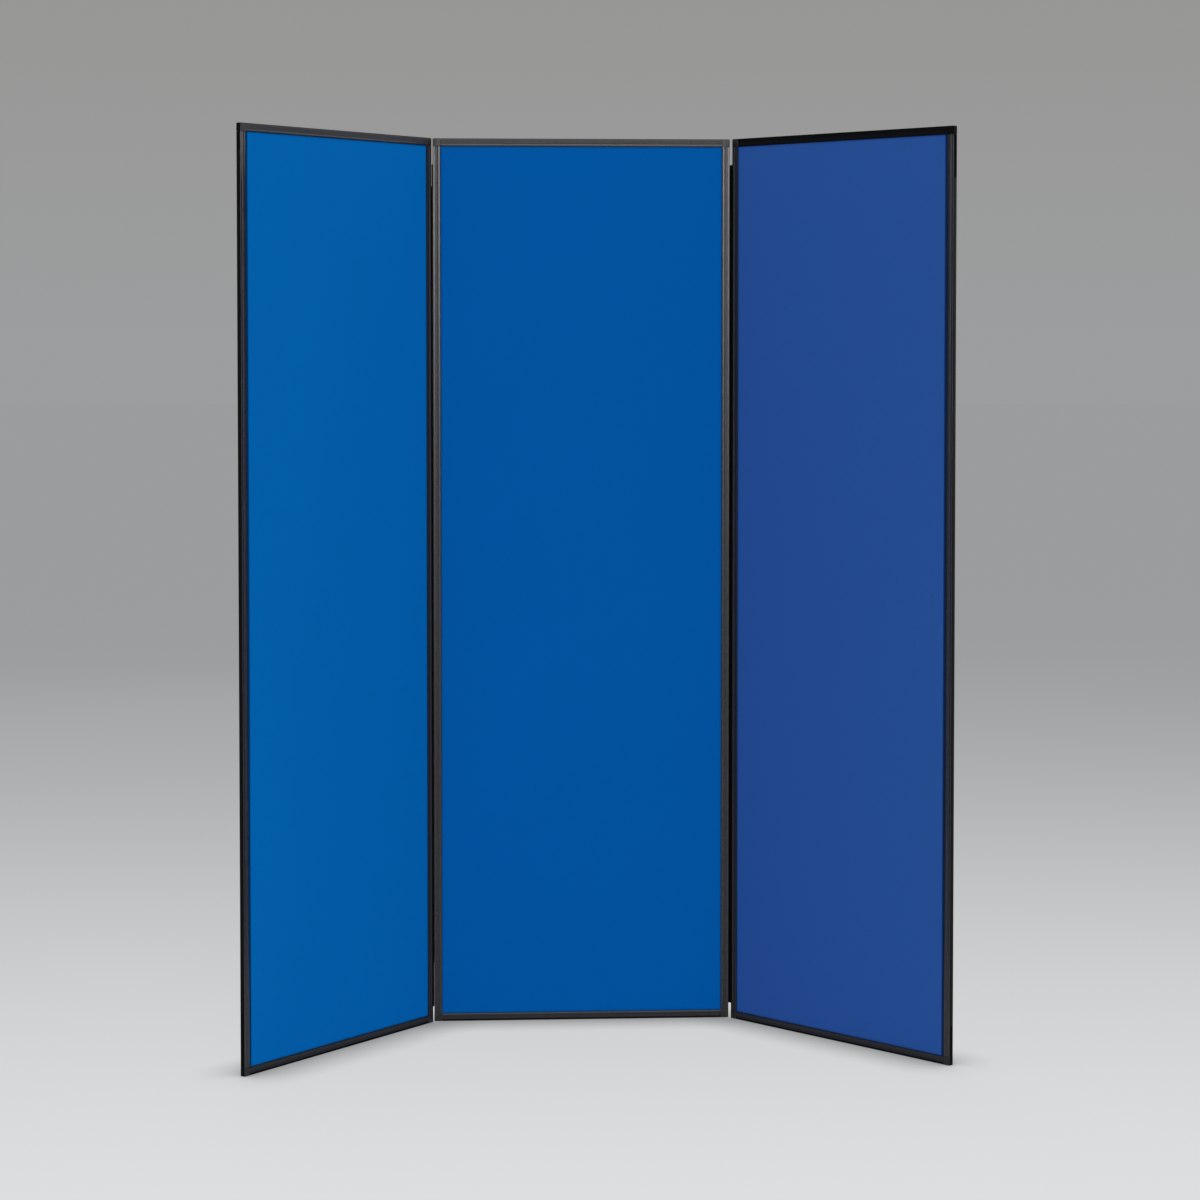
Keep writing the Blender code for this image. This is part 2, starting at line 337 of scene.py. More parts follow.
def slab(
    upper: np.ndarray, lower: np.ndarray, flat: np.ndarray, mask: np.ndarray | None = None
) -> Surface:
    """A closed slab between two grids of points, with a rim round their borders.

    Args:
        upper: (r, c, 3) points of the one skin.
        lower: (r, c, 3) points of the other, in the same order.
        flat: (r, c, 2) flat coordinates of both.
        mask: (r, c) values for the finish.

    Returns:
        The closed surface.
    """
    rows, columns = upper.shape[:2]
    count = rows * columns
    r, c = np.meshgrid(np.arange(rows - 1), np.arange(columns - 1), indexing="ij")
    corner = r * columns + c
    skin = np.stack([corner, corner + 1, corner + columns + 1, corner + columns], -1).reshape(-1, 4)
    border = np.concatenate(
        [
            np.arange(columns),
            np.arange(1, rows) * columns + columns - 1,
            (rows - 1) * columns + np.arange(columns - 2, -1, -1),
            np.arange(rows - 2, 0, -1) * columns,
        ]
    )
    following = np.roll(border, -1)
    rim = np.stack([following, border, border + count, following + count], -1)
    quads = np.concatenate([skin, skin[:, ::-1] + count, rim])
    uv = np.tile(flat.reshape(-1, 2), (2, 1))[quads]
    values = None if mask is None else np.tile(mask.ravel(), 2)
    points = np.concatenate([upper.reshape(-1, 3), lower.reshape(-1, 3)])
    return Surface(points, quads, uv, mask=values)


def wall(loop: np.ndarray, along: np.ndarray, start: int) -> tuple[np.ndarray, np.ndarray, np.ndarray]:
    """The wall over one closed loop: point (i, j) is (loop i's first, loop i's second, along j).

    Args:
        loop: (n, 2) points in order.
        along: (k,) places of its copies on the third axis.
        start: the number of its first point.

    Returns:
        (k * n, 3) points, the faces between them, and each face corner's metres along and round.
    """
    n, k = len(loop), len(along)
    ring = np.broadcast_to(loop[None], (k, n, 2))
    height = np.broadcast_to(along[:, None, None], (k, n, 1))
    step = np.linalg.norm(np.roll(loop, -1, 0) - loop, axis=1)
    round_to = np.cumsum(step)
    round_from = round_to - step
    low, high = along[:-1, None], along[1:, None]
    corners = ((low, round_from), (low, round_to), (high, round_to), (high, round_from))
    uv = np.stack([np.stack(np.broadcast_arrays(far, turn), -1) for far, turn in corners], -2)
    points = np.concatenate([ring, height], -1).reshape(-1, 3)
    return points, ring_quads(k, n, start), uv.reshape(-1, 4, 2)


def end_caps(loops: list[np.ndarray], copies: int) -> tuple[np.ndarray, np.ndarray]:
    """The flat ends over a loop and its holes, cut into triangles.

    Args:
        loops: the outer loop and then its holes, the other way round.
        copies: how many copies of each loop stand one above the other.

    Returns:
        The point numbers of both ends' triangles, and their places in the loops' plane.
    """
    flat = [[Vector((x, y, 0.0)) for x, y in loop] for loop in loops]
    cut = np.array([tuple(t) for t in tessellate_polygon(flat)], int)
    plan = np.concatenate(loops)
    a, b, c = (plan[cut[:, i]] for i in range(3))
    turn = (b[:, 0] - a[:, 0]) * (c[:, 1] - a[:, 1]) - (b[:, 1] - a[:, 1]) * (c[:, 0] - a[:, 0])
    cut = np.where(turn[:, None] > 0, cut, cut[:, ::-1])
    sizes = np.array([len(loop) for loop in loops])
    starts = (np.cumsum(sizes) - sizes) * copies
    owner = np.concatenate([np.arange(size) + start for size, start in zip(sizes, starts)])
    lift = np.repeat(sizes * (copies - 1), sizes)
    numbers = np.concatenate([owner[cut][:, ::-1], (owner + lift)[cut]])
    return numbers, np.concatenate([plan[cut][:, ::-1], plan[cut]])


def swept(
    outline: np.ndarray,
    along: np.ndarray,
    hollow: np.ndarray | None = None,
    mask: np.ndarray | None = None,
) -> Surface:
    """A closed outline carried straight along the third axis, with flat ends.

    Args:
        outline: (n, 2) points of the section.
        along: (k,) places of its copies on the third axis.
        hollow: (m, 2) points of a hole right through, if there is one.
        mask: (n,) values of the outline's points for the finish.

    Returns:
        The closed surface in (first, second, third) order.
    """
    if mask is not None and anticlockwise(outline) is not outline:
        mask = mask[::-1]
    loops = [anticlockwise(outline)] + ([] if hollow is None else [anticlockwise(hollow)[::-1]])
    walls, start = [], 0
    for loop in loops:
        walls.append(wall(loop, along, start))
        start += len(loop) * len(along)
    points, quads, uvs = (np.concatenate(parts) for parts in zip(*walls))
    tris, tri_uv = end_caps(loops, len(along))
    values = np.zeros(start)
    if mask is not None:
        values[: len(outline) * len(along)] = np.tile(mask, len(along))
    return Surface(points, quads, uvs, tris, tri_uv, values)


def placed(surface: Surface, station: Station, origin: Triple, axes: Axes) -> Surface:
    """Lays a surface made in axes of its own on a panel.

    Args:
        surface: the closed surface in its own axes.
        station: the panel.
        origin: where the surface's zero goes in the panel's frame.
        axes: the directions of its three axes there.

    Returns:
        The surface in the row's frame, its faces pointing out.
    """
    surface.points = surface.points @ np.array(axes, float) + np.array(origin, float)
    surface.points = station.carry(surface.outward().points)
    return surface


def on_side(surface: Surface, station: Station, side: Side) -> Surface:
    """Lays a surface made as (out from a side, depth, up) on that side of a panel."""
    axes = ((side.value, 0, 0), (0, side.value, 0), (0, 0, 1))
    return placed(surface, station, (station.side(side), 0, 0), axes)


# Meshes and pieces


def make_mesh(name: str, surface: Surface, sharp: float) -> bpy.types.Mesh:
    """Turns a surface into a mesh with its flat coordinates and its finish's values.

    Args:
        name: the mesh's name.
        surface: its surface.
        sharp: edges that turn more than this many degrees stay sharp.

    Returns:
        The mesh.
    """
    corners = np.concatenate([surface.quads.ravel(), surface.tris.ravel()]).astype(np.int32)
    sizes = np.concatenate([np.full(len(surface.quads), 4), np.full(len(surface.tris), 3)])
    mesh = bpy.data.meshes.new(name)
    mesh.vertices.add(len(surface.points))
    mesh.vertices.foreach_set("co", surface.points.astype(np.float32).ravel())
    mesh.loops.add(len(corners))
    mesh.loops.foreach_set("vertex_index", corners)
    mesh.polygons.add(len(sizes))
    mesh.polygons.foreach_set("loop_start", (np.cumsum(sizes) - sizes).astype(np.int32))
    mesh.update(calc_edges=True)
    layer = mesh.uv_layers.new(name="laid_flat")
    flat = np.concatenate([surface.quad_uv.reshape(-1, 2), surface.tri_uv.reshape(-1, 2)])
    layer.uv.foreach_set("vector", flat.astype(np.float32).ravel())
    mask = mesh.attributes.new("finish_mask", "FLOAT", "POINT")
    mask.data.foreach_set("value", surface.masked().astype(np.float32))
    mesh.validate()
    mesh.shade_smooth()
    mesh.set_sharp_from_angle(angle=math.radians(sharp))
    return mesh


def add_piece(
    name: str, mesh: bpy.types.Mesh, body: str | None, replaces: str
) -> bpy.types.Object:
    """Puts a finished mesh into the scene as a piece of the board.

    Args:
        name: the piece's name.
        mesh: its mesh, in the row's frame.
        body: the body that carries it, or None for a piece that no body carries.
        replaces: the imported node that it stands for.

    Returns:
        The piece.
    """
    piece = bpy.data.objects.new(name, mesh)
    bpy.context.scene.collection.objects.link(piece)
    if body is not None:
        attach(piece, body)
    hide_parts(replaces)
    LOG.info("%s: %d faces on %s", name, len(mesh.polygons), body or "a fold")
    return piece


def make_piece(
    name: str,
    surface: Surface,
    finishes: list[bpy.types.Material],
    body: str | None,
    replaces: str,
    sharp: float = 34.0,
) -> bpy.types.Object:
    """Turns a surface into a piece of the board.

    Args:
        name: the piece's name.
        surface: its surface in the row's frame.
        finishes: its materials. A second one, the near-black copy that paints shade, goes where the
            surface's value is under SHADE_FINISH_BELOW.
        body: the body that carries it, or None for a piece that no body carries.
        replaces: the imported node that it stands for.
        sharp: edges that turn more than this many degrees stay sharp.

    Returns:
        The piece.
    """
    mesh = make_mesh(name, surface, sharp)
    for material in finishes:
        mesh.materials.append(material)
    if len(finishes) == 2:
        values = surface.masked()
        share = np.concatenate([values[surface.quads].mean(1), values[surface.tris].mean(1)])
        mesh.polygons.foreach_set("material_index", (share < SHADE_FINISH_BELOW).astype(np.int32))
    return add_piece(name, mesh, body, replaces)


# Finishes


class Nodes:
    """Short ways to lay out the nodes of one material or world."""

    def __init__(self, owner: bpy.types.Material | bpy.types.World) -> None:
        """Turns the owner's nodes on."""
        owner.use_nodes = True
        self.owner, self.tree = owner, owner.node_tree

    @classmethod
    def material(cls, name: str) -> "Nodes":
        """The nodes of a new material."""
        return cls(bpy.data.materials.new(name))

    @property
    def shader(self) -> bpy.types.Node:
        """The material's shader."""
        return self.tree.nodes["Principled BSDF"]

    def add(self, kind: str, inputs: dict | None = None, **settings: str | int) -> bpy.types.Node:
        """Adds a node.

        Args:
            kind: the node's type name without its ShaderNode prefix.
            inputs: a value or an output for each named or numbered input.
            settings: the node's own settings.

        Returns:
            The node.
        """
        node = self.tree.nodes.new("ShaderNode" + kind)
        for key, value in settings.items():
            setattr(node, key, value)
        self.feed(node, inputs or {})
        return node

    def feed(self, node: bpy.types.Node, inputs: dict) -> None:
        """Sets a node's inputs, or links outputs to them.

        Args:
            node: the node.
            inputs: a value or an output for each named or numbered input.
        """
        for key, value in inputs.items():
            if isinstance(value, Socket):
                self.tree.links.new(value, node.inputs[key])
            else:
                node.inputs[key].default_value = value

    def place(self, scale: Triple = (1.0, 1.0, 1.0), source: str = "Object") -> Socket:
        """Coordinates for a pattern.

        Args:
            scale: how far they are stretched on each axis.
            source: Object, or UV for the piece's flat coordinates.

        Returns:
            The coordinates.
        """
        if source == "UV":
            base = self.add("UVMap", uv_map="laid_flat").outputs["UV"]
        else:
            base = self.add("TexCoord").outputs[source]
        return self.add("Mapping", {"Vector": base, "Scale": scale}).outputs["Vector"]

    def mask(self) -> Socket:
        """The value that a surface gives its finish."""
        return self.add("Attribute", attribute_name="finish_mask").outputs["Fac"]

    def noise(self, vector: Socket, scale: float, detail: float = 2.0, rough: float = 0.5) -> Socket:
        """A noise value from 0 to 1, with detail finer octaves that each keep a share rough."""
        inputs = {"Vector": vector, "Scale": scale, "Detail": detail, "Roughness": rough}
        return self.add("TexNoise", inputs).outputs["Fac"]

    def cells(self, vector: Socket, scale: float) -> Socket:
        """How far a place is from the middle of its cell in a cell pattern."""
        return self.add("TexVoronoi", {"Vector": vector, "Scale": scale}).outputs["Distance"]

    def wave(self, vector: Socket, scale: float, stray: float, axis: str) -> Socket:
        """A wave from 0 to 1 along one axis, which strays a little."""
        inputs = {"Vector": vector, "Scale": scale, "Distortion": stray}
        return self.add("TexWave", inputs, bands_direction=axis).outputs["Fac"]

    def math(
        self,
        operation: str,
        first: Socket | float,
        second: Socket | float = 0.0,
        third: Socket | float = 0.0,
    ) -> Socket:
        """The result of one sum on two or three values."""
        node = self.add("Math", {0: first, 1: second, 2: third}, operation=operation)
        return node.outputs[0]

    def spread(
        self, value: Socket, low: float, high: float, start: float = 0.0, end: float = 1.0
    ) -> Socket:
        """A value carried from the range low to high into the range start to end, kept inside."""
        inputs = {"Value": value, "From Min": low, "From Max": high, "To Min": start, "To Max": end}
        return self.add("MapRange", inputs).outputs["Result"]

    def swing(self, noise: Socket, low: float = 0.0, high: float = 1.0) -> Socket:
        """A noise value carried from its usual range into the range low to high."""
        return self.spread(noise, *NOISE_RANGE, low, high)

    def mix(self, share: Socket | float, first: Socket | Triple, second: Socket | Triple) -> Socket:
        """A colour between two colours.

        Args:
            share: how much of the second there is.
            first: the first colour.
            second: the second colour.

        Returns:
            The mixed colour.
        """
        colors = [(*c, 1.0) if isinstance(c, tuple) else c for c in (first, second)]
        inputs = {0: share, 6: colors[0], 7: colors[1]}
        return self.add("Mix", inputs, data_type="RGBA").outputs[2]

    def shades(self, value: Socket, color: Triple, darker: float, lighter: float) -> Socket:
        """A colour from darker to lighter shares of itself as a noise value rises."""
        return self.mix(self.swing(value), tinted(color, darker), tinted(color, lighter))

    def relief(self, height: Socket, distance: float, strength: float = 1.0) -> None:
        """Feeds a height into the shader's normal, in metres."""
        node = self.add("Bump", {"Height": height, "Distance": distance, "Strength": strength})
        self.feed(self.shader, {"Normal": node.outputs["Normal"]})

    def finish(self, color: Socket, rough: Socket, specular: float = 0.5) -> bpy.types.Material:
        """Feeds the shader.

        Args:
            color: its colour.
            rough: its roughness.
            specular: how strongly it mirrors, as a plain value.

        Returns:
            The material.
        """
        inputs = {"Base Color": color, "Roughness": rough, "Specular IOR Level": specular}
        self.feed(self.shader, inputs)
        return self.owner

    def seen_rays(self) -> Socket:
        """1 for rays seen directly, mirrored or through glass, and 0 for rays that only light.

        Returns:
            The value.
        """
        path = self.add("LightPath").outputs
        seen = self.math("MAXIMUM", path["Is Camera Ray"], path["Is Glossy Ray"])
        return self.math("MAXIMUM", seen, path["Is Transmission Ray"])


def tinted(color: Triple, share: float) -> Triple:
    """A colour scaled by a share."""
    return tuple(min(1.0, c * share) for c in color)


@dataclass(frozen=True)
class LoopClothFinish:
    """Brushed loop cloth: a short nap of matted loops over a knitted ground."""

    name: str
    dye_and_light: Triple
    nap: float = 0.0003
    roughness: float = 0.92
    roughness_swing: float = 0.05
    specular: float = 0.03
    # The colour's share where the painted shade is deepest, in the lip's painted shadow.
    pressed: float = 0.22
    loop_scale: float = 1100.0
    cell_scale: float = 620.0
    comb_scale: Triple = (260.0, 260.0, 34.0)
    shading_scale: float = 5.0

    def make(self) -> bpy.types.Material:
        """Makes loops about a millimetre across, combed upright, with faint broad shading of the
        nap. The mask paints shade: a thin line of painted shade beside the frame, and on a wing's free
        side a wide painted shadow of the frame's lip.

        Returns:
            The material.
        """
        n = Nodes.material(self.name)
        loops = n.noise(n.place((1.0, 1.0, 0.7)), self.loop_scale, 3.0, 0.6)
        combed = n.noise(n.place(self.comb_scale), 1.0, 3.0, 0.6)
        broad = n.noise(n.place((1.0, 1.0, 0.6)), self.shading_scale, 3.0, 0.55)
        cells = n.cells(n.place((1.0, 1.0, 0.75)), self.cell_scale)
        shade = n.math("MULTIPLY_ADD", loops, 0.84, n.math("MULTIPLY", combed, 0.09))
        shade = n.math("MULTIPLY_ADD", broad, 0.07, shade)
        dyed_and_lit = n.shades(shade, self.dye_and_light, 0.86, 1.14)
        # Painted shade beside the frame: the mask darkens the colour towards that share.
        color = n.mix(n.mask(), dyed_and_lit, tinted(self.dye_and_light, self.pressed))
        swing = self.roughness_swing
        rough = n.swing(combed, self.roughness - swing, self.roughness + swing)
        height = n.math("MULTIPLY_ADD", loops, 0.7, n.math("MULTIPLY", cells, -0.5))
        n.relief(n.math("MULTIPLY_ADD", combed, 0.25, height), self.nap, 0.5)
        return n.finish(color, rough, self.specular)


@dataclass(frozen=True)
class ExtrusionFinish:
    """Charcoal extruded plastic: glossier on the lips, which are painted lighter as painted highlight,
    and painted near black on its slopes and sides as painted shade.
    """

    name: str = "charcoal_satin_painted_highlight"
    # The lighter colour paints highlights on the lips; the near-black one paints shade on slopes and
    # sides.
    satin: Triple = (0.0112, 0.0108, 0.0152)
    matt: Triple = (0.0030, 0.0029, 0.0032)
    satin_roughness: float = 0.30
    matt_roughness: float = 0.66
    specular: float = 0.5
    die_lines: Triple = (1.5, 3200.0, 1.0)
    handling_scale: float = 9.0
    speck_scale: float = 900.0
    mottle_scale: float = 330.0
    line_depth: float = 0.00002

    def make(self) -> bpy.types.Material:
        """Lays die lines along the member, which is the flat coordinates' first axis, under a mottle
        of 3 mm. The mask is 1 on glossy lips painted lighter as painted highlight, and 0 on matt
        slopes painted near black as painted shade.

        Returns:
            The material.
        """
        n = Nodes.material(self.name)
        where = n.place()
        lines = n.noise(n.place(self.die_lines, "UV"), 1.0, 3.0, 0.6)
        handled = n.noise(where, self.handling_scale, 4.0, 0.6)
        specks = n.noise(where, self.speck_scale)
        mottle = n.noise(where, self.mottle_scale, 1.0)
        shade = n.math("MULTIPLY_ADD", lines, 0.5, n.math("MULTIPLY", handled, 0.5))
        gloss_and_painted_light = n.math("MULTIPLY", n.mask(), n.swing(shade, 0.86, 1.1))
        mottled = n.spread(mottle, 0.35, 0.65)
        satin = n.mix(mottled, tinted(self.satin, 0.4), tinted(self.satin, 1.6))
        rough = n.spread(gloss_and_painted_light, 0.0, 1.0, self.matt_roughness, self.satin_roughness)
        rough = n.math("MULTIPLY_ADD", specks, 0.06, n.math("SUBTRACT", rough, 0.03))
        n.relief(n.math("MULTIPLY_ADD", specks, 0.4, lines), self.line_depth, 0.4)
        # The colour rises with the mask from near black, painted shade, to the lighter lip colour,
        # painted highlight.
        return n.finish(n.mix(gloss_and_painted_light, self.matt, satin), rough, self.specular)


@dataclass(frozen=True)
class MouldingFinish:
    """Charcoal moulded plastic with a fine spark grain."""

    name: str = "charcoal_moulding"
    color: Triple = (0.0115, 0.0110, 0.0115)
    roughness: float = 0.40
    specular: float = 0.36
    grain_scale: float = 2600.0
    fine_scale: float = 3800.0
    handling_scale: float = 70.0
    grain_depth: float = 0.00003

    def make(self) -> bpy.types.Material:
        """Makes the grain from a cell pattern of 0.4 mm and a finer noise.

        Returns:
            The material.
        """
        n = Nodes.material(self.name)
        where = n.place()
        grain = n.cells(where, self.grain_scale)
        fine = n.noise(where, self.fine_scale)
        handled = n.noise(where, self.handling_scale, 3.0, 0.6)
        rough = n.swing(handled, self.roughness - 0.04, self.roughness + 0.06)
        n.relief(n.math("MULTIPLY_ADD", fine, 0.5, grain), self.grain_depth, 0.6)
        return n.finish(n.shades(handled, self.color, 0.85, 1.2), rough, self.specular)


@dataclass(frozen=True)
class YarnFinish:
    """Fine nylon yarn of a tape's pile."""

    name: str
    color: Triple
    roughness: float
    sheen: float
    specular: float
    strand_scale: float = 700.0

    def make(self) -> bpy.types.Material:
        """Makes strands a shade lighter and darker than each other.

        Returns:
            The material.
        """
        n = Nodes.material(self.name)
        tone = n.noise(n.place(), self.strand_scale)
        rough = n.swing(tone, self.roughness - 0.06, self.roughness + 0.06)
        n.feed(n.shader, {"Sheen Weight": self.sheen})
        return n.finish(n.shades(tone, self.color, 0.7, 1.35), rough, self.specular)


@dataclass(frozen=True)
class TapeBackingFinish:
    """The woven ground of a tape, its weft across and its selvedges along."""

    name: str = "tape_backing"
    color: Triple = (0.0040, 0.0040, 0.0043)
    specular: float = 0.08
    thread_scale: float = 700.0
    thread_stray: float = 0.4
    thread_depth: float = 0.00012

    def make(self) -> bpy.types.Material:
        """Makes the plain weave from two crossed waves of 0.45 mm.

        Returns:
            The material.
        """
        n = Nodes.material(self.name)
        where = n.place(source="UV")
        warp, weft = (n.wave(where, self.thread_scale, self.thread_stray, axis) for axis in "XY")
        weave = n.math("MULTIPLY", warp, weft)
        n.relief(weave, self.thread_depth, 0.6)
        color = n.mix(weave, tinted(self.color, 0.7), tinted(self.color, 1.4))
        return n.finish(color, n.spread(weave, 0.0, 1.0, 0.85, 0.7), self.specular)


@dataclass(frozen=True)
class SoftWebFinish:
    """Soft black plastic, dull, with the faint ripple of a thin drawn strip."""

    name: str = "soft_web"
    color: Triple = (0.0036, 0.0035, 0.0037)
    roughness: float = 0.42
    specular: float = 0.10
    ripple_scale: float = 260.0
    skin_scale: float = 1500.0
    ripple_depth: float = 0.00004

    def make(self) -> bpy.types.Material:
        """Lays ripples along the strip, under a fine skin texture.

        Returns:
            The material.
        """
        n = Nodes.material(self.name)
        ripple = n.noise(n.place((1.0, 1.0, 0.08)), self.ripple_scale)
        skin = n.noise(n.place(), self.skin_scale)
        rough = n.swing(ripple, self.roughness - 0.04, self.roughness + 0.06)
        n.relief(n.math("MULTIPLY_ADD", skin, 0.2, ripple), self.ripple_depth, 0.5)
        return n.finish(n.shades(skin, self.color, 0.85, 1.15), rough, self.specular)


@dataclass(frozen=True)
class CoreFinish:
    """Pale twin-wall plastic with upright flutes."""

    name: str = "fluted_core"
    color: Triple = (0.55, 0.55, 0.53)
    flute_scale: float = 87.0
    dust_scale: float = 40.0
    flute_depth: float = 0.0001

    def make(self) -> bpy.types.Material:
        """Makes the flutes from a wave across the board, 3.6 mm apart.

        Returns:
            The material.
        """
        n = Nodes.material(self.name)
        flutes = n.wave(n.place((1.0, 1.0, 0.02)), self.flute_scale, 0.2, "X")
        dust = n.noise(n.place(), self.dust_scale, 3.0, 0.6)
        shaded = n.math("MULTIPLY", flutes, 0.3)
        color = n.mix(shaded, n.shades(dust, self.color, 0.92, 1.05), tinted(self.color, 0.8))
        n.relief(flutes, self.flute_depth, 0.4)
        return n.finish(color, n.swing(dust, 0.5, 0.65))


@dataclass(frozen=True)
class Wardrobe:
    """Every finish of the board, made once."""

    cloth: dict[str, bpy.types.Material]
    extrusion: bpy.types.Material
    extrusion_shade: bpy.types.Material
    moulding: bpy.types.Material
    moulding_shade: bpy.types.Material
    core: bpy.types.Material
    backing: bpy.types.Material
    web: bpy.types.Material
    pile: dict[Pile, bpy.types.Material]


# One blue cloth in three colours: the left's lighter blue and the right's violet cast are painted
# light, standing for how each panel is lit.
CLOTH_FINISHES = {
    "left_panel": LoopClothFinish("left_panel_loop_cloth", (0.0, 0.1265, 0.425)),
    "centre_panel": LoopClothFinish("centre_panel_loop_cloth", (0.0, 0.0850, 0.330)),
    "right_panel": LoopClothFinish("right_panel_loop_cloth", (0.0238, 0.0910, 0.337)),
}
# Near-black copy of the extrusion: painted shade on the members' sides and slopes.
SHADED_EXTRUSION = ExtrusionFinish(
    "charcoal_matt_painted_shade", matt=(0.0028, 0.0027, 0.0030), matt_roughness=0.7, specular=0.06
)
# Near-black copy of the moulding: painted shade on the corners' sides and on shaded corners.
SHADED_MOULDING = MouldingFinish("moulding_matt_painted_shade", (0.0028, 0.0028, 0.0030), 0.7, 0.06)
LOOP_YARN = YarnFinish("loop_pile", (0.0042, 0.0042, 0.0046), 0.85, 0.02, 0.05)
HOOK_YARN = YarnFinish("hook_pile", (0.0040, 0.0040, 0.0043), 0.5, 0.0, 0.12)


def make_wardrobe() -> Wardrobe:
    """Makes the board's finishes. Each panel's cloth has its own colour: the left's lighter blue and
    the right's violet cast are painted light for how each panel is lit.

    Returns:
        The finishes.
    """
    return Wardrobe(
        cloth={body: finish.make() for body, finish in CLOTH_FINISHES.items()},
        extrusion=ExtrusionFinish().make(),
        extrusion_shade=SHADED_EXTRUSION.make(),
        moulding=MouldingFinish().make(),
        moulding_shade=SHADED_MOULDING.make(),
        core=CoreFinish().make(),
        backing=TapeBackingFinish().make(),
        web=SoftWebFinish().make(),
        pile={Pile.LOOP: LOOP_YARN.make(), Pile.HOOK: HOOK_YARN.make()},
    )


# The frame


@dataclass(frozen=True)
class GlossAndPaintedLight:
    """How glossy a member's face is and how much painted light it takes, from 0, matt and near black
    as painted shade, to 1, glossy and lighter as painted highlight.

    The outer lip's crown has the value of lips, the inner lip's lies half way from there to 1, and
    the slope down to the board has that of slope. Share scales the whole face.
    """

    lips: float
    slope: float = 0.0
    share: float = 1.0


# Painted light by member: the stiles' lips lighter as painted highlight, the top rails' lips half so
# and their slope lighter as a painted reflection of the floor, the bottom rail darker as painted shade
# along its foot.
LIPS_LIT = GlossAndPaintedLight(1.0)
LIPS_HALF_LIT = GlossAndPaintedLight(0.5, slope=0.6)
LIPS_SHADED = GlossAndPaintedLight(0.0)
FACE_DEEP_SHADED = GlossAndPaintedLight(0.0, share=0.4)
USUAL_GLOSS_AND_PAINTED_LIGHT = {
    "left_stile": LIPS_LIT,
    "right_stile": LIPS_LIT,
    "bottom_rail": LIPS_SHADED,
    "top_rail": LIPS_HALF_LIT,
}


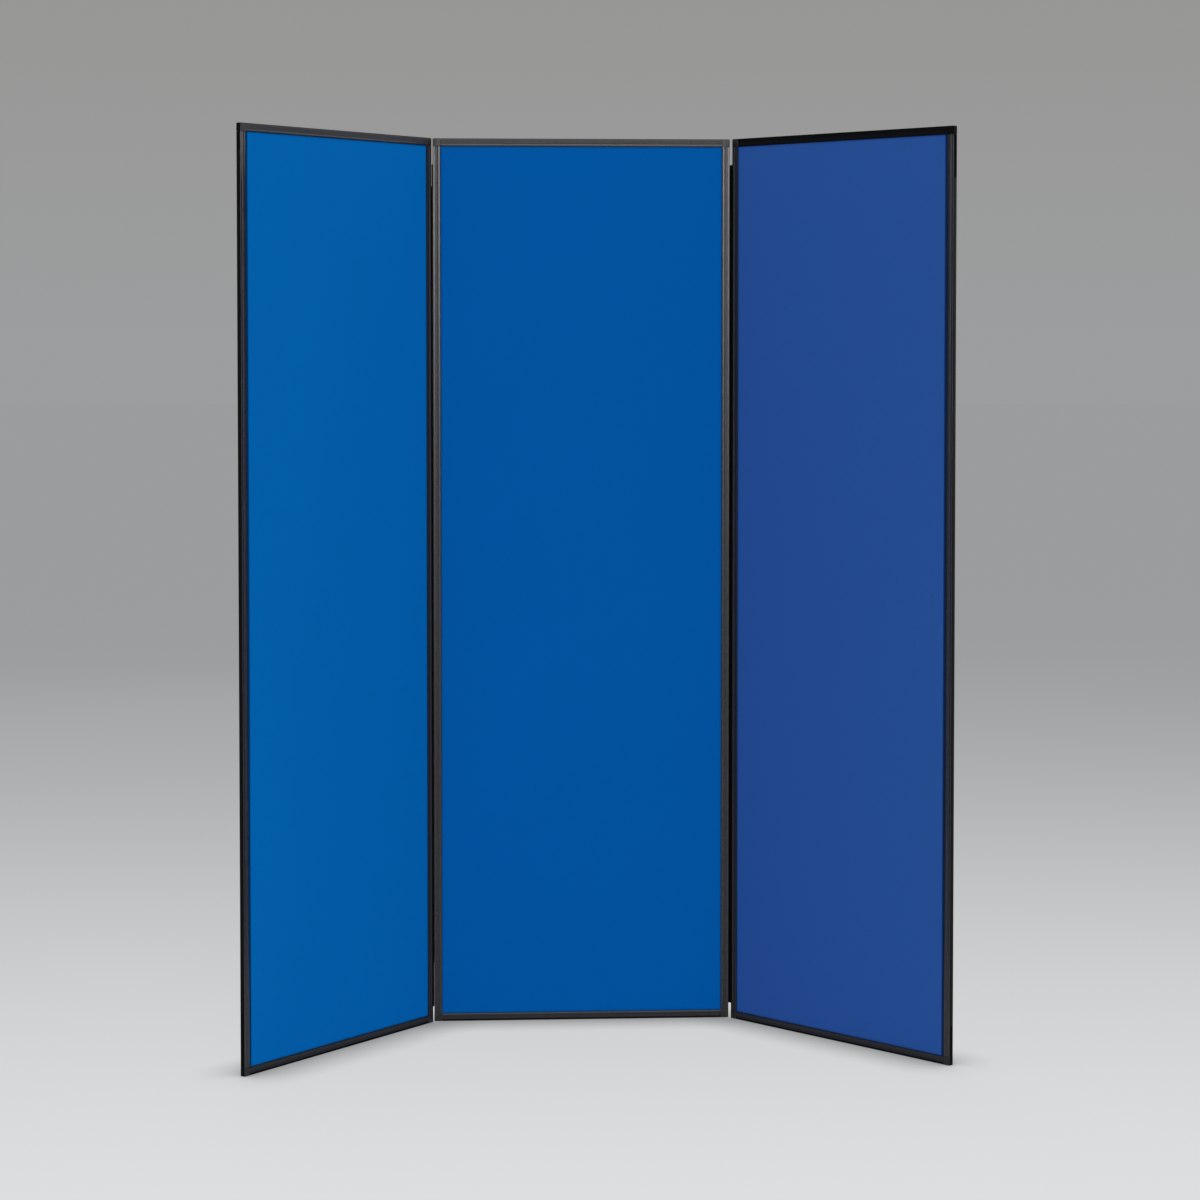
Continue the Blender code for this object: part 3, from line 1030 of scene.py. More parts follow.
@dataclass
class FrameMembers:
    """The two stiles and two rails of one panel's frame.

    The section's face has a crowned outer lip, a shallow band with fine ribs, and a crowned inner
    lip that slopes down to the board. Lengths here are in millimetres from the outer side. An ease
    is the radius that rounds a corner.
    """

    station: Station
    gloss_and_painted_light: dict[str, GlossAndPaintedLight] = field(default_factory=dict)
    shoulder: Pair = (1.0, 1.0)
    shoulder_points: int = 8
    lip_steps: tuple[float, ...] = (0.33, 0.67, 1.0)
    outer_lip: float = 4.2
    outer_fall: float = 0.25
    band: Pair = (4.55, 9.0)
    band_depth: float = 0.6
    inner_lip: Triple = (9.6, 12.2, 15.2)
    inner_fall: Pair = (0.35, 0.40)
    lip_edge: Pair = (0.35, 0.2)
    lip_drop: float = 1.08
    rib_places: tuple[float, ...] = (5.65, 6.78, 7.91)
    rib_half: float = 0.34
    rib_height: float = 0.2
    edge_ease: float = 0.15
    rib_foot_ease: float = 0.05
    rib_top_ease: float = 0.07
    slope_ease: float = 0.25
    slot_mouth_ease: float = 0.12
    slot_floor_ease: float = 0.1
    hollow_ease: float = 0.3
    # Shares of gloss and painted light across the face: band and rib tops lighter as painted
    # highlight, the lip's edge near black as painted shade.
    least_gloss_and_painted_light: float = 0.5
    outer_lip_end: float = 0.4
    band_gloss_and_painted_light: float = 0.75
    rib_foot_gloss_and_painted_light: float = 0.65
    rib_top_gloss_and_painted_light: float = 0.9
    lip_edge_gloss_and_painted_light: float = 0.15
    copies: int = 7

    def lip(
        self, crown: float, end: float, fall: float, t: np.ndarray, gloss_and_painted_light: np.ndarray | float
    ) -> np.ndarray:
        """Corners from a lip's crown, t = 0, to its end, t = 1, that fall by fall * t squared."""
        across, depth = crown + (end - crown) * t, -SIZES.depth / 2 / MM + fall * t * t
        return np.stack(np.broadcast_arrays(across, depth, 0.0, gloss_and_painted_light), -1)

    def front_half(self, channel: bool, gloss_and_painted_light: GlossAndPaintedLight) -> np.ndarray:
        """The section's corners on the front half, from the side inwards to the slot's bottom.

        The shoulder is a quarter of an ellipse, and the lips fall by a square law.

        Args:
            channel: whether the tape's channel is cut into the side.
            gloss_and_painted_light: its gloss and the painted light it takes, painted highlight on the
                lips and painted shade on the slope.

        Returns:
            (n, 4) rows: distance from the side, depth, radius of rounding, and gloss with painted
            light.
        """
        face, wide = -SIZES.depth / 2 / MM, SIZES.face / MM
        low, slot, half = face + self.band_depth, -SIZES.slot_half / MM, SIZES.channel_half / MM
        lips, inner_gloss_and_painted_light = gloss_and_painted_light.lips, self.least_gloss_and_painted_light + (1 - self.least_gloss_and_painted_light) * gloss_and_painted_light.lips
        rim = [(u, -half, self.edge_ease, 0.0) for u in (SIZES.channel_depth / MM, 0.0)]
        across, deep = self.shoulder
        a = np.linspace(0, math.pi / 2, self.shoulder_points)
        turn = (across * (1 - np.cos(a)), face + deep * (1 - np.sin(a)), 0 * a)
        # The shoulder takes the lips' painted highlight on its front, falling to near black, painted
        # shade, on the side.
        shoulder = np.stack([*turn, lips * np.minimum(1.0, 2 * np.sin(a) ** 2)], -1)
        t = np.array(self.lip_steps)
        outer_gloss_and_painted_light = lips + (1 - lips) * self.outer_lip_end * t * t
        foot = (0.0, self.rib_foot_ease, self.rib_foot_gloss_and_painted_light * inner_gloss_and_painted_light)
        top = (self.rib_height, self.rib_top_ease, self.rib_top_gloss_and_painted_light * inner_gloss_and_painted_light)
        ribs = [
            (place + share * self.rib_half, low - lift, ease, value)
            for place in self.rib_places
            for share, (lift, ease, value) in ((-1.0, foot), (-0.5, top), (0.5, top), (1.0, foot))
        ]
        band = [(place, low, self.edge_ease, self.band_gloss_and_painted_light * inner_gloss_and_painted_light) for place in self.band]
        start, crown, end = self.inner_lip
        further, deeper = self.lip_edge
        # The slope down to the board is near black as painted shade, and lighter on the top rails as a
        # painted reflection of the floor.
        edge_gloss_and_painted_light = gloss_and_painted_light.slope + self.lip_edge_gloss_and_painted_light
        slope = [
            (end + further, face + self.inner_fall[1] + deeper, 0.0, edge_gloss_and_painted_light),
            (wide, face + self.lip_drop, self.slope_ease, gloss_and_painted_light.slope),
            (wide, slot, self.slot_mouth_ease, 0.0),
            (wide - SIZES.slot_depth / MM, slot, self.slot_floor_ease, 0.0),
        ]
        rows = [
            shoulder,
            self.lip(across, self.outer_lip, self.outer_fall, t, outer_gloss_and_painted_light),
            [band[0], *ribs, band[1]],
            self.lip(crown, start, self.inner_fall[0], np.append(t[::-1], 0.0), inner_gloss_and_painted_light),
            self.lip(crown, end, self.inner_fall[1], t, inner_gloss_and_painted_light),
            slope,
        ]
        return np.concatenate([rim, *rows] if channel else rows)

    def section(self, channel: bool, gloss_and_painted_light: GlossAndPaintedLight) -> tuple[np.ndarray, np.ndarray]:
        """The whole section: the front half and its mirror image.

        Args:
            channel: whether the tape's channel is cut into the side.
            gloss_and_painted_light: its gloss and the painted light it takes, painted highlight on the
                lips and painted shade on the slope.

        Returns:
            (n, 2) points in metres, and the gloss and painted light of each.
        """
        rows = self.front_half(channel, gloss_and_painted_light)
        rows = np.concatenate([rows, rows[::-1] * np.array([1.0, -1.0, 1.0, 1.0])])
        outline, source = rounded(rows[:, :2], rows[:, 2])
        return outline * MM, gloss_and_painted_light.share * rows[source, 3]

    def member(self, channel: bool, length: float, gloss_and_painted_light: GlossAndPaintedLight) -> Surface:
        """One member from its own start, its outer side at the first axis's zero.

        Args:
            channel: whether the tape's channel is cut into the side.
            length: how long it is.
            gloss_and_painted_light: its gloss and the painted light it takes, painted highlight on the
                lips and painted shade on the slope.

        Returns:
            The closed member with its chamber.
        """
        outline, values = self.section(channel, gloss_and_painted_light)
        radii = (self.hollow_ease * MM,) * 4
        chamber = oblong(SIZES.hollow_start, SIZES.hollow_end, SIZES.slot_half, radii, 3)
        return swept(outline, np.linspace(0.0, length, self.copies), chamber, values)

    def build(self, looks: Wardrobe) -> None:
        """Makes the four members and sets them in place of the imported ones.

        Args:
            looks: the board's finishes.
        """
        at, inset = self.station, SIZES.member_inset
        left, right = at.side(Side.LEFT), at.side(Side.RIGHT)
        stile, rail = SIZES.height - 2 * inset, SIZES.width - 2 * inset
        layout = (
            ("left_stile", True, stile, (left, 0, inset), ((1, 0, 0), (0, 1, 0), (0, 0, 1))),
            ("right_stile", True, stile, (right, 0, inset), ((-1, 0, 0), (0, -1, 0), (0, 0, 1))),
            ("bottom_rail", False, rail, (left + inset, 0, 0), ((0, 0, 1), (0, 1, 0), (1, 0, 0))),
            (
                "top_rail",
                False,
                rail,
                (left + inset, 0, SIZES.height),
                ((0, 0, -1), (0, 1, 0), (1, 0, 0)),
            ),
        )
        finishes = [looks.extrusion, looks.extrusion_shade]
        for spot, channel, length, origin, axes in layout:
            member = self.member(channel, length, (USUAL_GLOSS_AND_PAINTED_LIGHT | self.gloss_and_painted_light)[spot])
            node = f"{at.body}_{spot}"
            surface = placed(member, at, origin, axes)
            make_piece(f"{node}_member", surface, finishes, at.body, node)


@dataclass
class CornerMouldings:
    """The four moulded corners of one panel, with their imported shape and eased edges."""

    station: Station
    # Corners whose faces take the near-black copy as painted shade.
    dull: tuple[str, ...] = ()
    ease: float = 0.00022
    ease_steps: int = 2
    eased_above: float = 30.0
    sharp: float = 40.0
    flat_below: float = 0.5
    merge: float = 1e-6
    facing: float = 0.7

    def sides(self, mesh: bpy.types.Mesh) -> np.ndarray:
        """Tells a corner's sides from its faces by how far each normal lies in depth.

        Args:
            mesh: the corner.

        Returns:
            0 for each face that looks to the panel's front or back, and 1 for each other one.
        """
        normals = np.zeros(3 * len(mesh.polygons), np.float32)
        mesh.polygons.foreach_get("normal", normals)
        depth = np.array([-math.sin(self.station.turn), math.cos(self.station.turn), 0.0])
        return (np.abs(normals.reshape(-1, 3) @ depth) < self.facing).astype(np.int32)

    def mesh(self, node: str, finishes: list[bpy.types.Material]) -> bpy.types.Mesh:
        """A copy of a packed corner, with its loose triangles merged.

        Args:
            node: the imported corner.
            finishes: the finish of its faces and of its sides.

        Returns:
            The mesh.
        """
        shape = bmesh.new()
        shape.from_mesh(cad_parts[node].data)
        bmesh.ops.remove_doubles(shape, verts=shape.verts, dist=self.merge)
        angle = math.radians(self.flat_below)
        bmesh.ops.dissolve_limit(shape, angle_limit=angle, verts=shape.verts, edges=shape.edges)
        mesh = bpy.data.meshes.new(f"{node}_moulding")
        shape.to_mesh(mesh)
        shape.free()
        mesh.shade_smooth()
        mesh.set_sharp_from_angle(angle=math.radians(self.sharp))
        mesh.materials.clear()
        for finish in finishes:
            mesh.materials.append(finish)
        mesh.polygons.foreach_set("material_index", self.sides(mesh))
        return mesh

    def build(self, looks: Wardrobe) -> None:
        """Makes the corners, their faces glossy unless dull and their sides near black as painted
        shade, and rounds their sharp edges. A dull corner's faces are painted near black too, as
        painted shade.

        Args:
            looks: the board's finishes.
        """
        body = self.station.body
        for spot in ("bottom_left", "top_left", "top_right", "bottom_right"):
            node = f"{body}_corner_{spot}"
            faces = looks.moulding_shade if spot in self.dull else looks.moulding
            mesh = self.mesh(node, [faces, looks.moulding_shade])
            piece = add_piece(f"{node}_moulding", mesh, body, node)
            bevel = piece.modifiers.new("eased_edges", "BEVEL")
            bevel.width, bevel.segments, bevel.limit_method = self.ease, self.ease_steps, "ANGLE"
            bevel.angle_limit = math.radians(self.eased_above)


# The board


@dataclass
class ClothFace:
    """One face of loop cloth, drawn tight over the core and tucked into the frame's slots.

    A margin along the frame takes painted shade, fully within the first distance of its pair and
    none beyond the second. On the shaded side the lip's painted shadow is wider and darker.
    """

    station: Station
    face: Face
    columns: int = 34
    rows: int = 96
    edge_width: float = 0.016
    edge_lines: int = 17
    tuck_start: float = 0.0055
    tuck_end: float = 0.013
    tuck_depth: float = 0.00035
    swell: float = 0.00012
    swell_waves: tuple[Triple, ...] = ((9.1, 2.3, 1.0), (3.1, -7.7, 2.1), (17.0, 12.9, 0.7))
    face_phase: float = 1.7
    panel_phase: float = 40.0
    # Painted shade: a thin darker line beside the frame all round, and a wider painted shadow of the
    # lip along the shaded side.
    pressed: Pair = (0.0070, 0.0105)
    painted_shade_share: float = 0.27
    shaded: Side | None = None
    painted_shadow_margin: Pair = (0.0125, 0.0150)

    def lines(self, length: float, count: int) -> np.ndarray:
        """Places across the cloth, close together beside both edges.

        Args:
            length: the cloth's size this way.
            count: places in the middle part.

        Returns:
            Places from 0 to length.
        """
        edge = np.linspace(0.0, self.edge_width, self.edge_lines)[:-1]
        middle = np.linspace(self.edge_width, length - self.edge_width, count)
        return np.concatenate([edge, middle, length - edge[::-1]])

    def near(self, x: np.ndarray, z: np.ndarray) -> np.ndarray:
        """How far each place is from the cloth's nearest edge."""
        across, up = np.minimum(x, SIZES.board_width - x), np.minimum(z, SIZES.board_height - z)
        return np.minimum(across, up)

    def relief(self, x: np.ndarray, z: np.ndarray) -> np.ndarray:
        """How far the cloth stands above its slots' level.

        It is a smooth step up from each edge, between the tuck's start and its end, plus a slow
        swell: three crossed sines, 0.3 to 0.8 m long, different on each face.

        Args:
            x: places across the cloth.
            z: places up the cloth.

        Returns:
            Heights in metres.
        """
        step = (self.near(x, z) - self.tuck_start) / (self.tuck_end - self.tuck_start)
        step = np.clip(step, 0, 1)
        step = step * step * (3 - 2 * step)
        phase = self.face_phase * self.face.value + self.panel_phase * self.station.x
        slow = np.mean([np.sin(a * x + b * z + c * phase) for a, b, c in self.swell_waves], 0)
        return (step - 1) * self.tuck_depth + step * self.swell * (slow - 1)

    def margin(self, x: np.ndarray, z: np.ndarray) -> np.ndarray:
        """How much painted shade each place takes, falling evenly over each margin.

        Args:
            x: places across the cloth.
            z: places up the cloth.

        Returns:
            Values from 0 in the open to 1.
        """
        full, none = self.pressed
        margin = self.painted_shade_share * np.clip((none - self.near(x, z)) / (none - full), 0, 1)
        if self.shaded is not None:
            full, none = self.painted_shadow_margin
            across = x if self.shaded is Side.LEFT else SIZES.board_width - x
            margin = np.maximum(margin, np.clip((none - across) / (none - full), 0, 1))
        return margin

    def surface(self) -> Surface:
        """The closed cloth: an outer skin by the relief, a flat inner skin, and a rim.

        Returns:
            The cloth in the row's frame.
        """
        xs = self.lines(SIZES.board_width, self.columns)
        zs = self.lines(SIZES.board_height, self.rows)
        z, x = np.meshgrid(zs, xs, indexing="ij")
        inner = np.full_like(x, SIZES.core / 2 + SIZES.fit_gap)
        outer = inner + SIZES.cloth + self.relief(x, z)
        skins = [np.stack([x, self.face.value * depth, z], -1) for depth in (outer, inner)]
        cloth = slab(*skins, np.stack([x, z], -1), self.margin(x, z))
        corner = (self.station.left + SIZES.board_inset, 0, SIZES.board_inset)
        return placed(cloth, self.station, corner, ((1, 0, 0), (0, 1, 0), (0, 0, 1)))

    def build(self, looks: Wardrobe) -> None:
        """Args:
            looks: the board's finishes.
        """
        body, word = self.station.body, self.face.name.lower()
        node, finishes = f"{body}_{word}_fabric", [looks.cloth[body]]
        name = f"{body}_{word}_cloth"
        piece = make_piece(name, self.surface(), finishes, body, node)


@dataclass
class CoreBoard:
    """The core between the cloths, kept as packed."""

    station: Station

    def build(self, looks: Wardrobe) -> None:
        """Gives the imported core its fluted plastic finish.

        Args:
            looks: the board's finishes.
        """
        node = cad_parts[f"{self.station.body}_core_board"]
        node.data.materials.clear()
        node.data.materials.append(looks.core)
        LOG.info("%s: dressed", node.name)


# Tapes and webs


@dataclass
class SideTape:
    """A tape in the channel of one side, with the hooks or loops that stand on it.

    The pile stands free where nothing is joined and is pressed flat under a web's strip.
    """

    station: Station
    side: Side
    pile: Pile
    span: Pair
    pressed: Pair | None
    free_height: float = 0.0024
    pressed_height: float = 0.00028
    ground_radii: tuple[float, ...] = (0.0001, 0.0004, 0.0004, 0.0001)
    ground_copies: int = 9
    mat_share: Pair = (0.58, 0.86)
    mat_step: float = 0.0008
    mat_columns: int = 11
    mat_round: float = 0.4
    mat_pressed: float = 0.6
    mat_sunk: float = 0.0001
    strand: float = 0.000095
    strand_reach: float = 0.00125
    strand_sides: int = 3
    strand_sunk: float = 0.0002
    loop_reach: float = 0.42
    loop_points: int = 7
    hook_path: tuple[Triple, ...] = (
        (0.0, 0, 0.0), (0.55, 0, 0.0), (0.86, 0, 0.12), (0.97, 0, 0.40), (0.74, 0, 0.60)
    )
    columns: int = 4
    pitch_across: float = 0.00155
    pitch_along: float = 0.0020
    end_gap: float = 0.0015
    stagger: float = 0.35
    stray_along: float = 0.2
    stray_across: float = 0.15
    height_share: Pair = (0.85, 1.0)
    most_turn: float = 0.6
    seed: int = 5
    mat_seed: int = 100
    sharp: float = 60.0
    flattened_by: str | None = None
    flattened_share: float = 0.3

    def under_web(self, along: np.ndarray) -> np.ndarray:
        """True at the places along the tape that a web's strip covers."""
        low, high = self.pressed or (0.0, 0.0)
        return (along > low) & (along < high)

    def ground(self) -> Surface:
        """The woven ground: a flat strip with round edges, from the channel's bottom to its rim.

        Returns:
            The strip in (out, across, along) order.
        """
        half, low = SIZES.channel_half - SIZES.fit_gap, SIZES.fit_gap - SIZES.channel_depth
        outline = oblong(low, 0.0, half, self.ground_radii, 4)
        return swept(outline, np.linspace(*self.span, self.ground_copies))

    def mat(self) -> Surface:
        """The matted mass of the pile, which the strands stand out of.

        Its height is the pile's height times a random share, softened with its neighbours. It
        falls as a quarter ellipse to both selvedges and both ends, and it is low where the tape
        is pressed.

        Returns:
            The mat in (out, across, along) order.
        """
        rng = np.random.default_rng(self.seed + self.mat_seed)
        half = SIZES.channel_half - 2 * SIZES.fit_gap
        low, high = self.span
        z = np.linspace(low, high, int((high - low) / self.mat_step))
        v = np.linspace(-half, half, self.mat_columns)
        share = rng.uniform(*self.mat_share, (len(z), len(v)))
        share = (share + np.roll(share, 1, 0) + np.roll(share, 1, 1)) / 3
        edge = np.minimum(half - np.abs(v)[None], np.minimum(z - low, high - z)[:, None])
        edge = np.clip(edge / (self.mat_round * half), 0, 1)
        flat = self.mat_pressed * self.pressed_height
        height = np.where(self.under_web(z), flat, self.free_height)
        out = height[:, None] * share * np.sqrt(1 - (1 - edge) ** 2)
        along, across = np.meshgrid(z, v, indexing="ij")
        skins = [np.stack([top, across, along], -1) for top in (out, 0 * out - self.mat_sunk)]
        return slab(*skins, np.stack([along, across], -1))

    def template(self) -> tuple[np.ndarray, np.ndarray]:
        """One strand's path, of unit height, in (out, across, along) order.

        A loop is a half ring: out = sin a, along = -reach cos a. A hook rises straight and bends
        over at its tip through five given points.

        Returns:
            (n, 3) centre points and (n, 2) directions of the tube's path in (out, along).
        """
        if self.pile is Pile.LOOP:
            a = np.linspace(0.0, math.pi, self.loop_points)
            path = np.stack([np.sin(a), 0.0 * a, -self.loop_reach * np.cos(a)], -1)
        else:
            path = np.array(self.hook_path)
        way = np.gradient(path[:, [0, 2]], axis=0)
        return path, way / np.linalg.norm(way, axis=1, keepdims=True)

    def roots(self, rng: np.random.Generator) -> tuple[np.ndarray, np.ndarray]:
        """Where the strands stand: staggered rows, each strand a little astray.

        Args:
            rng: the source of the random values.

        Returns:
            (n,) places along the tape and (n,) places across it.
        """
        low, high = self.span
        rows = np.arange(low + self.end_gap, high - self.end_gap, self.pitch_along)
        places = (np.arange(self.columns) - (self.columns - 1) / 2) * self.pitch_across
        along, across = (v.ravel() for v in np.meshgrid(rows, places, indexing="ij"))
        odd = (np.arange(len(along)) // self.columns) % 2
        across = across + (odd - 0.5) * self.stagger * self.pitch_across
        stray = rng.uniform(-self.stray_along, self.stray_along, len(along))
        along = along + stray * self.pitch_along
        stray = rng.uniform(-self.stray_across, self.stray_across, len(along))
        return along, across + stray * self.pitch_across

    def strands(self) -> Surface:
        """All the strands: copies of one tube, each a little turned and scaled.

        A strand's path goes up by its height and out along its own turn by its reach. Round each
        of its points stands a ring: the strand's radius times cos r on a level direction square
        to the path, and times sin r on one square to both.

        Returns:
            The strands in (out, across, along) order.
        """
        rng = np.random.default_rng(self.seed)
        path, way = self.template()
        along, across = self.roots(rng)
        count, sides = len(along), self.strand_sides
        height = self.free_height * rng.uniform(*self.height_share, count)
        height = np.where(self.under_web(along), self.pressed_height, height)
        turn = rng.uniform(-self.most_turn, self.most_turn, count)
        turn = turn + math.pi * (rng.random(count) < 0.5)
        sine, cosine = np.sin(turn)[:, None], np.cos(turn)[:, None]
        level = path[None, :, 2] * self.strand_reach
        centre = np.zeros((count, len(path), 3))
        centre[..., 0] = path[None, :, 0] * height[:, None]
        centre[..., 1] = across[:, None] + level * sine
        centre[..., 2] = along[:, None] + level * cosine
        side = np.stack([0 * sine, cosine, -sine], -1)
        lead = np.stack([0 * sine, sine, cosine], -1)
        lift = -way[None, :, :1] * lead + way[None, :, 1:] * np.array([1.0, 0.0, 0.0])
        ring = 2 * math.pi * np.arange(sides) / sides
        spread = np.cos(ring)[:, None] * side[:, :, None] + np.sin(ring)[:, None] * lift[:, :, None]
        points = (centre[:, :, None] + self.strand * spread).reshape(-1, 3)
        points[:, 0] = np.maximum(points[:, 0], -self.strand_sunk)
        tube = len(path) * sides
        starts = (np.arange(count) * tube)[:, None, None]
        quads = (ring_quads(len(path), sides)[None] + starts).reshape(-1, 4)
        ends = np.array([[2, 1, 0], [tube - 3, tube - 2, tube - 1]])
        tris = (ends[None] + starts).reshape(-1, 3)
        flat = points[:, 1:]
        return Surface(points, quads, flat[quads], tris, flat[tris])

    def flatten(self, piece: bpy.types.Object) -> None:
        """Gives the pile its own copy of its mesh. The side's root and tip are worked out but not
        used.

        Args:
            piece: the pile.
        """
        side = self.station.side(self.side)
        ends = np.array([(side + out, 0.0, 0.0) for out in (0.0, self.side.value)])
        root, tip = self.station.carry(ends)
        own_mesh(piece)

    def build(self, looks: Wardrobe) -> None:
        """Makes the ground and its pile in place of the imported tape.

        Args:
            looks: the board's finishes.
        """
        at, slot = self.station, f"{self.pile.value}_tape"
        node = f"{at.body}_{slot}"
        ground = on_side(self.ground(), at, self.side)
        make_piece(f"{node}_ground", ground, [looks.backing], at.body, node)
        yarn = [looks.pile[self.pile]]
        for word, shape in (("mat", self.mat()), ("pile", self.strands())):
            surface = on_side(shape, at, self.side)
            piece = make_piece(f"{node}_{word}", surface, yarn, at.body, node, self.sharp)
            if self.flattened_by is not None:
                self.flatten(piece)


@dataclass
class HingeWeb:
    """A soft web between two panels: a strip bonded to each tape and the curved web between."""

    side: Side
    wing: Station
    span: Pair
    thickness: float = 0.0005
    strip_in: float = 0.00030
    strip_out: float = 0.00058
    strip_half: float = 0.0033
    strip_ease: float = 0.0001
    strip_copies: int = 9
    lap: float = 0.0001
    steps: int = 24
    web_copies: int = 13
    handle: float = 0.15

    def ends(self) -> tuple[np.ndarray, np.ndarray, np.ndarray, np.ndarray]:
        """Where the web meets each strip in plan, and its way there.

        Returns:
            The start, the finish, the way it leaves the start, and the way it reaches the finish.
        """
        out = self.side.value
        root = LINE_OFFSET - self.strip_out + self.lap
        start = np.array([out * (SIZES.width / 2 + LINE_OFFSET - root), 0.0])
        way = np.array([out * math.cos(self.wing.turn), out * math.sin(self.wing.turn)])
        finish = np.array([self.wing.x, self.wing.y]) + root * way
        return start, finish, np.array([out, 0.0]), way

    def curve(self) -> np.ndarray:
        """The web's middle line at rest: a cubic curve square to both strips.

        With ends A and D, and B and C a handle's length from them, the point at t is
        (1-t)^3 A + 3 (1-t)^2 t B + 3 (1-t) t^2 C + t^3 D.

        Returns:
            (2 * steps + 1, 2) points in plan.
        """
        start, finish, leave, reach = self.ends()
        length = self.handle * np.linalg.norm(finish - start)
        b, c = start + leave * length, finish - reach * length
        t = np.linspace(0, 1, 2 * self.steps + 1)[:, None]
        s = 1 - t
        return s**3 * start + 3 * s**2 * t * b + 3 * s * t**2 * c + t**3 * finish

    def half(self, line: np.ndarray) -> Surface:
        """A length of web: the line moved half a thickness to each side and carried upright.

        Args:
            line: (n, 2) points of its middle line in plan.

        Returns:
            The closed web.
        """
        way = np.gradient(line, axis=0)
        way /= np.linalg.norm(way, axis=1, keepdims=True)
        aside = np.stack([-way[:, 1], way[:, 0]], -1) * self.thickness / 2
        outline = np.concatenate([line + aside, (line - aside)[::-1]])
        return swept(outline, np.linspace(*self.span, self.web_copies)).outward()

    def strip(self, station: Station, side: Side) -> Surface:
        """The flat strip on one panel's tape, with round edges.

        Args:
            station: the panel.
            side: the side that its tape is on.

        Returns:
            The strip in the row's frame.
        """
        radii = (self.strip_ease,) * 4
        outline = oblong(self.strip_in, self.strip_out, self.strip_half, radii, 3)
        surface = swept(outline, np.linspace(*self.span, self.strip_copies))
        return on_side(surface, station, side)

    def build(self, looks: Wardrobe) -> None:
        """Makes the web's two halves, split at the middle of its curve, and its two strips.

        Args:
            looks: the board's finishes.
        """
        word, line, middle = self.side.name.lower(), self.curve(), self.steps
        node, finishes = f"{word}_hinge_web", [looks.web]
        halves = (
            (f"{word}_web_inner_half", line[: middle + 1], "centre_panel", f"{word}_web"),
            (f"{word}_web_outer_half", line[middle:], f"{word}_web", f"{word}_panel"),
        )
        for name, part, before, after in halves:
            piece = make_piece(name, self.half(part), finishes, None, node)
            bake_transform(piece)
        other = Side.RIGHT if self.side is Side.LEFT else Side.LEFT
        strips = (
            (f"{word}_web_centre_strip", CENTRE, self.side),
            (f"{word}_web_wing_strip", self.wing, other),
        )
        for name, station, side in strips:
            surface = self.strip(station, side)
            make_piece(name, surface, finishes, station.body, node)


@dataclass
class Panel:
    """One panel with all that its body carries."""

    station: Station
    loop_pressed: Pair | None
    hook_pressed: Pair | None
    free_side: Side | None = None
    gloss_and_painted_light: dict[str, GlossAndPaintedLight] = field(default_factory=dict)
    painted_shade_corners: tuple[str, ...] = ()
    loops_flattened_by: str | None = None
    hook_height: float = 0.0011

    def parts(self) -> tuple:
        """The core, the cloths, the frame and the tapes.

        Returns:
            The panel's sub-assemblies, each with a build method.
        """
        at, flattened = self.station, self.loops_flattened_by
        loop, hook = (Side.LEFT, Pile.LOOP, LOOP_SPAN), (Side.RIGHT, Pile.HOOK, HOOK_SPAN)
        return (
            CoreBoard(at),
            ClothFace(at, Face.FRONT, shaded=self.free_side),
            ClothFace(at, Face.BACK),
            FrameMembers(at, self.gloss_and_painted_light),
            CornerMouldings(at, self.painted_shade_corners),
            SideTape(at, *loop, self.loop_pressed, seed=11, flattened_by=flattened),
            SideTape(at, *hook, self.hook_pressed, self.hook_height, seed=23),
        )

    def build(self, looks: Wardrobe) -> None:
        """Makes all the parts."""
        for part in self.parts():
            part.build(looks)


# The studio


def stand_lamp(
    name: str, lamp: bpy.types.Light, place: Triple, aim: Triple, diffuse: bool, glossy: bool
) -> None:
    """Puts a lamp at a point, aimed at another.

    Args:
        name: its name.
        lamp: the lamp.
        place: where it stands.
        aim: what it is aimed at.
        diffuse: whether it lights matt surfaces.
        glossy: whether glossy surfaces mirror it.
    """
    holder = bpy.data.objects.new(name, lamp)
    holder.location = place
    holder.rotation_euler = (Vector(aim) - Vector(place)).to_track_quat("-Z", "Y").to_euler()
    holder.visible_camera = False
    holder.visible_diffuse, holder.visible_glossy = diffuse, glossy
    bpy.context.scene.collection.objects.link(holder)


@dataclass(frozen=True)
class SoftBox:
    """A rectangular soft lamp hung at a point and aimed at another.

    Its glow is how bright its own face is, where 1 is white. A card only shines in glossy
    surfaces.
    """

    name: str
    place: Triple
    aim: Triple
    width: float
    height: float
    glow: float
    card: bool = False

    def hang(self) -> None:
        """Adds the lamp, its power its glow times pi times its area."""
        lamp = bpy.data.lights.new(self.name, "AREA")
        lamp.shape, lamp.size, lamp.size_y = "RECTANGLE", self.width, self.height
        lamp.energy = self.glow * math.pi * self.width * self.height
        stand_lamp(self.name, lamp, self.place, self.aim, diffuse=not self.card, glossy=True)


@dataclass(frozen=True)
class Daylight:
    """A broad far light. Its level is how bright white paper facing it looks, where 1 is white."""

    name: str
    place: Triple
    level: float
    spread: float

    def hang(self) -> None:
        """Adds the light, which no glossy surface mirrors."""
        lamp = bpy.data.lights.new(self.name, "SUN")
        lamp.energy, lamp.angle = self.level * math.pi, math.radians(self.spread)
        stand_lamp(self.name, lamp, self.place, (0.0, 0.0, 0.0), diffuse=True, glossy=False)


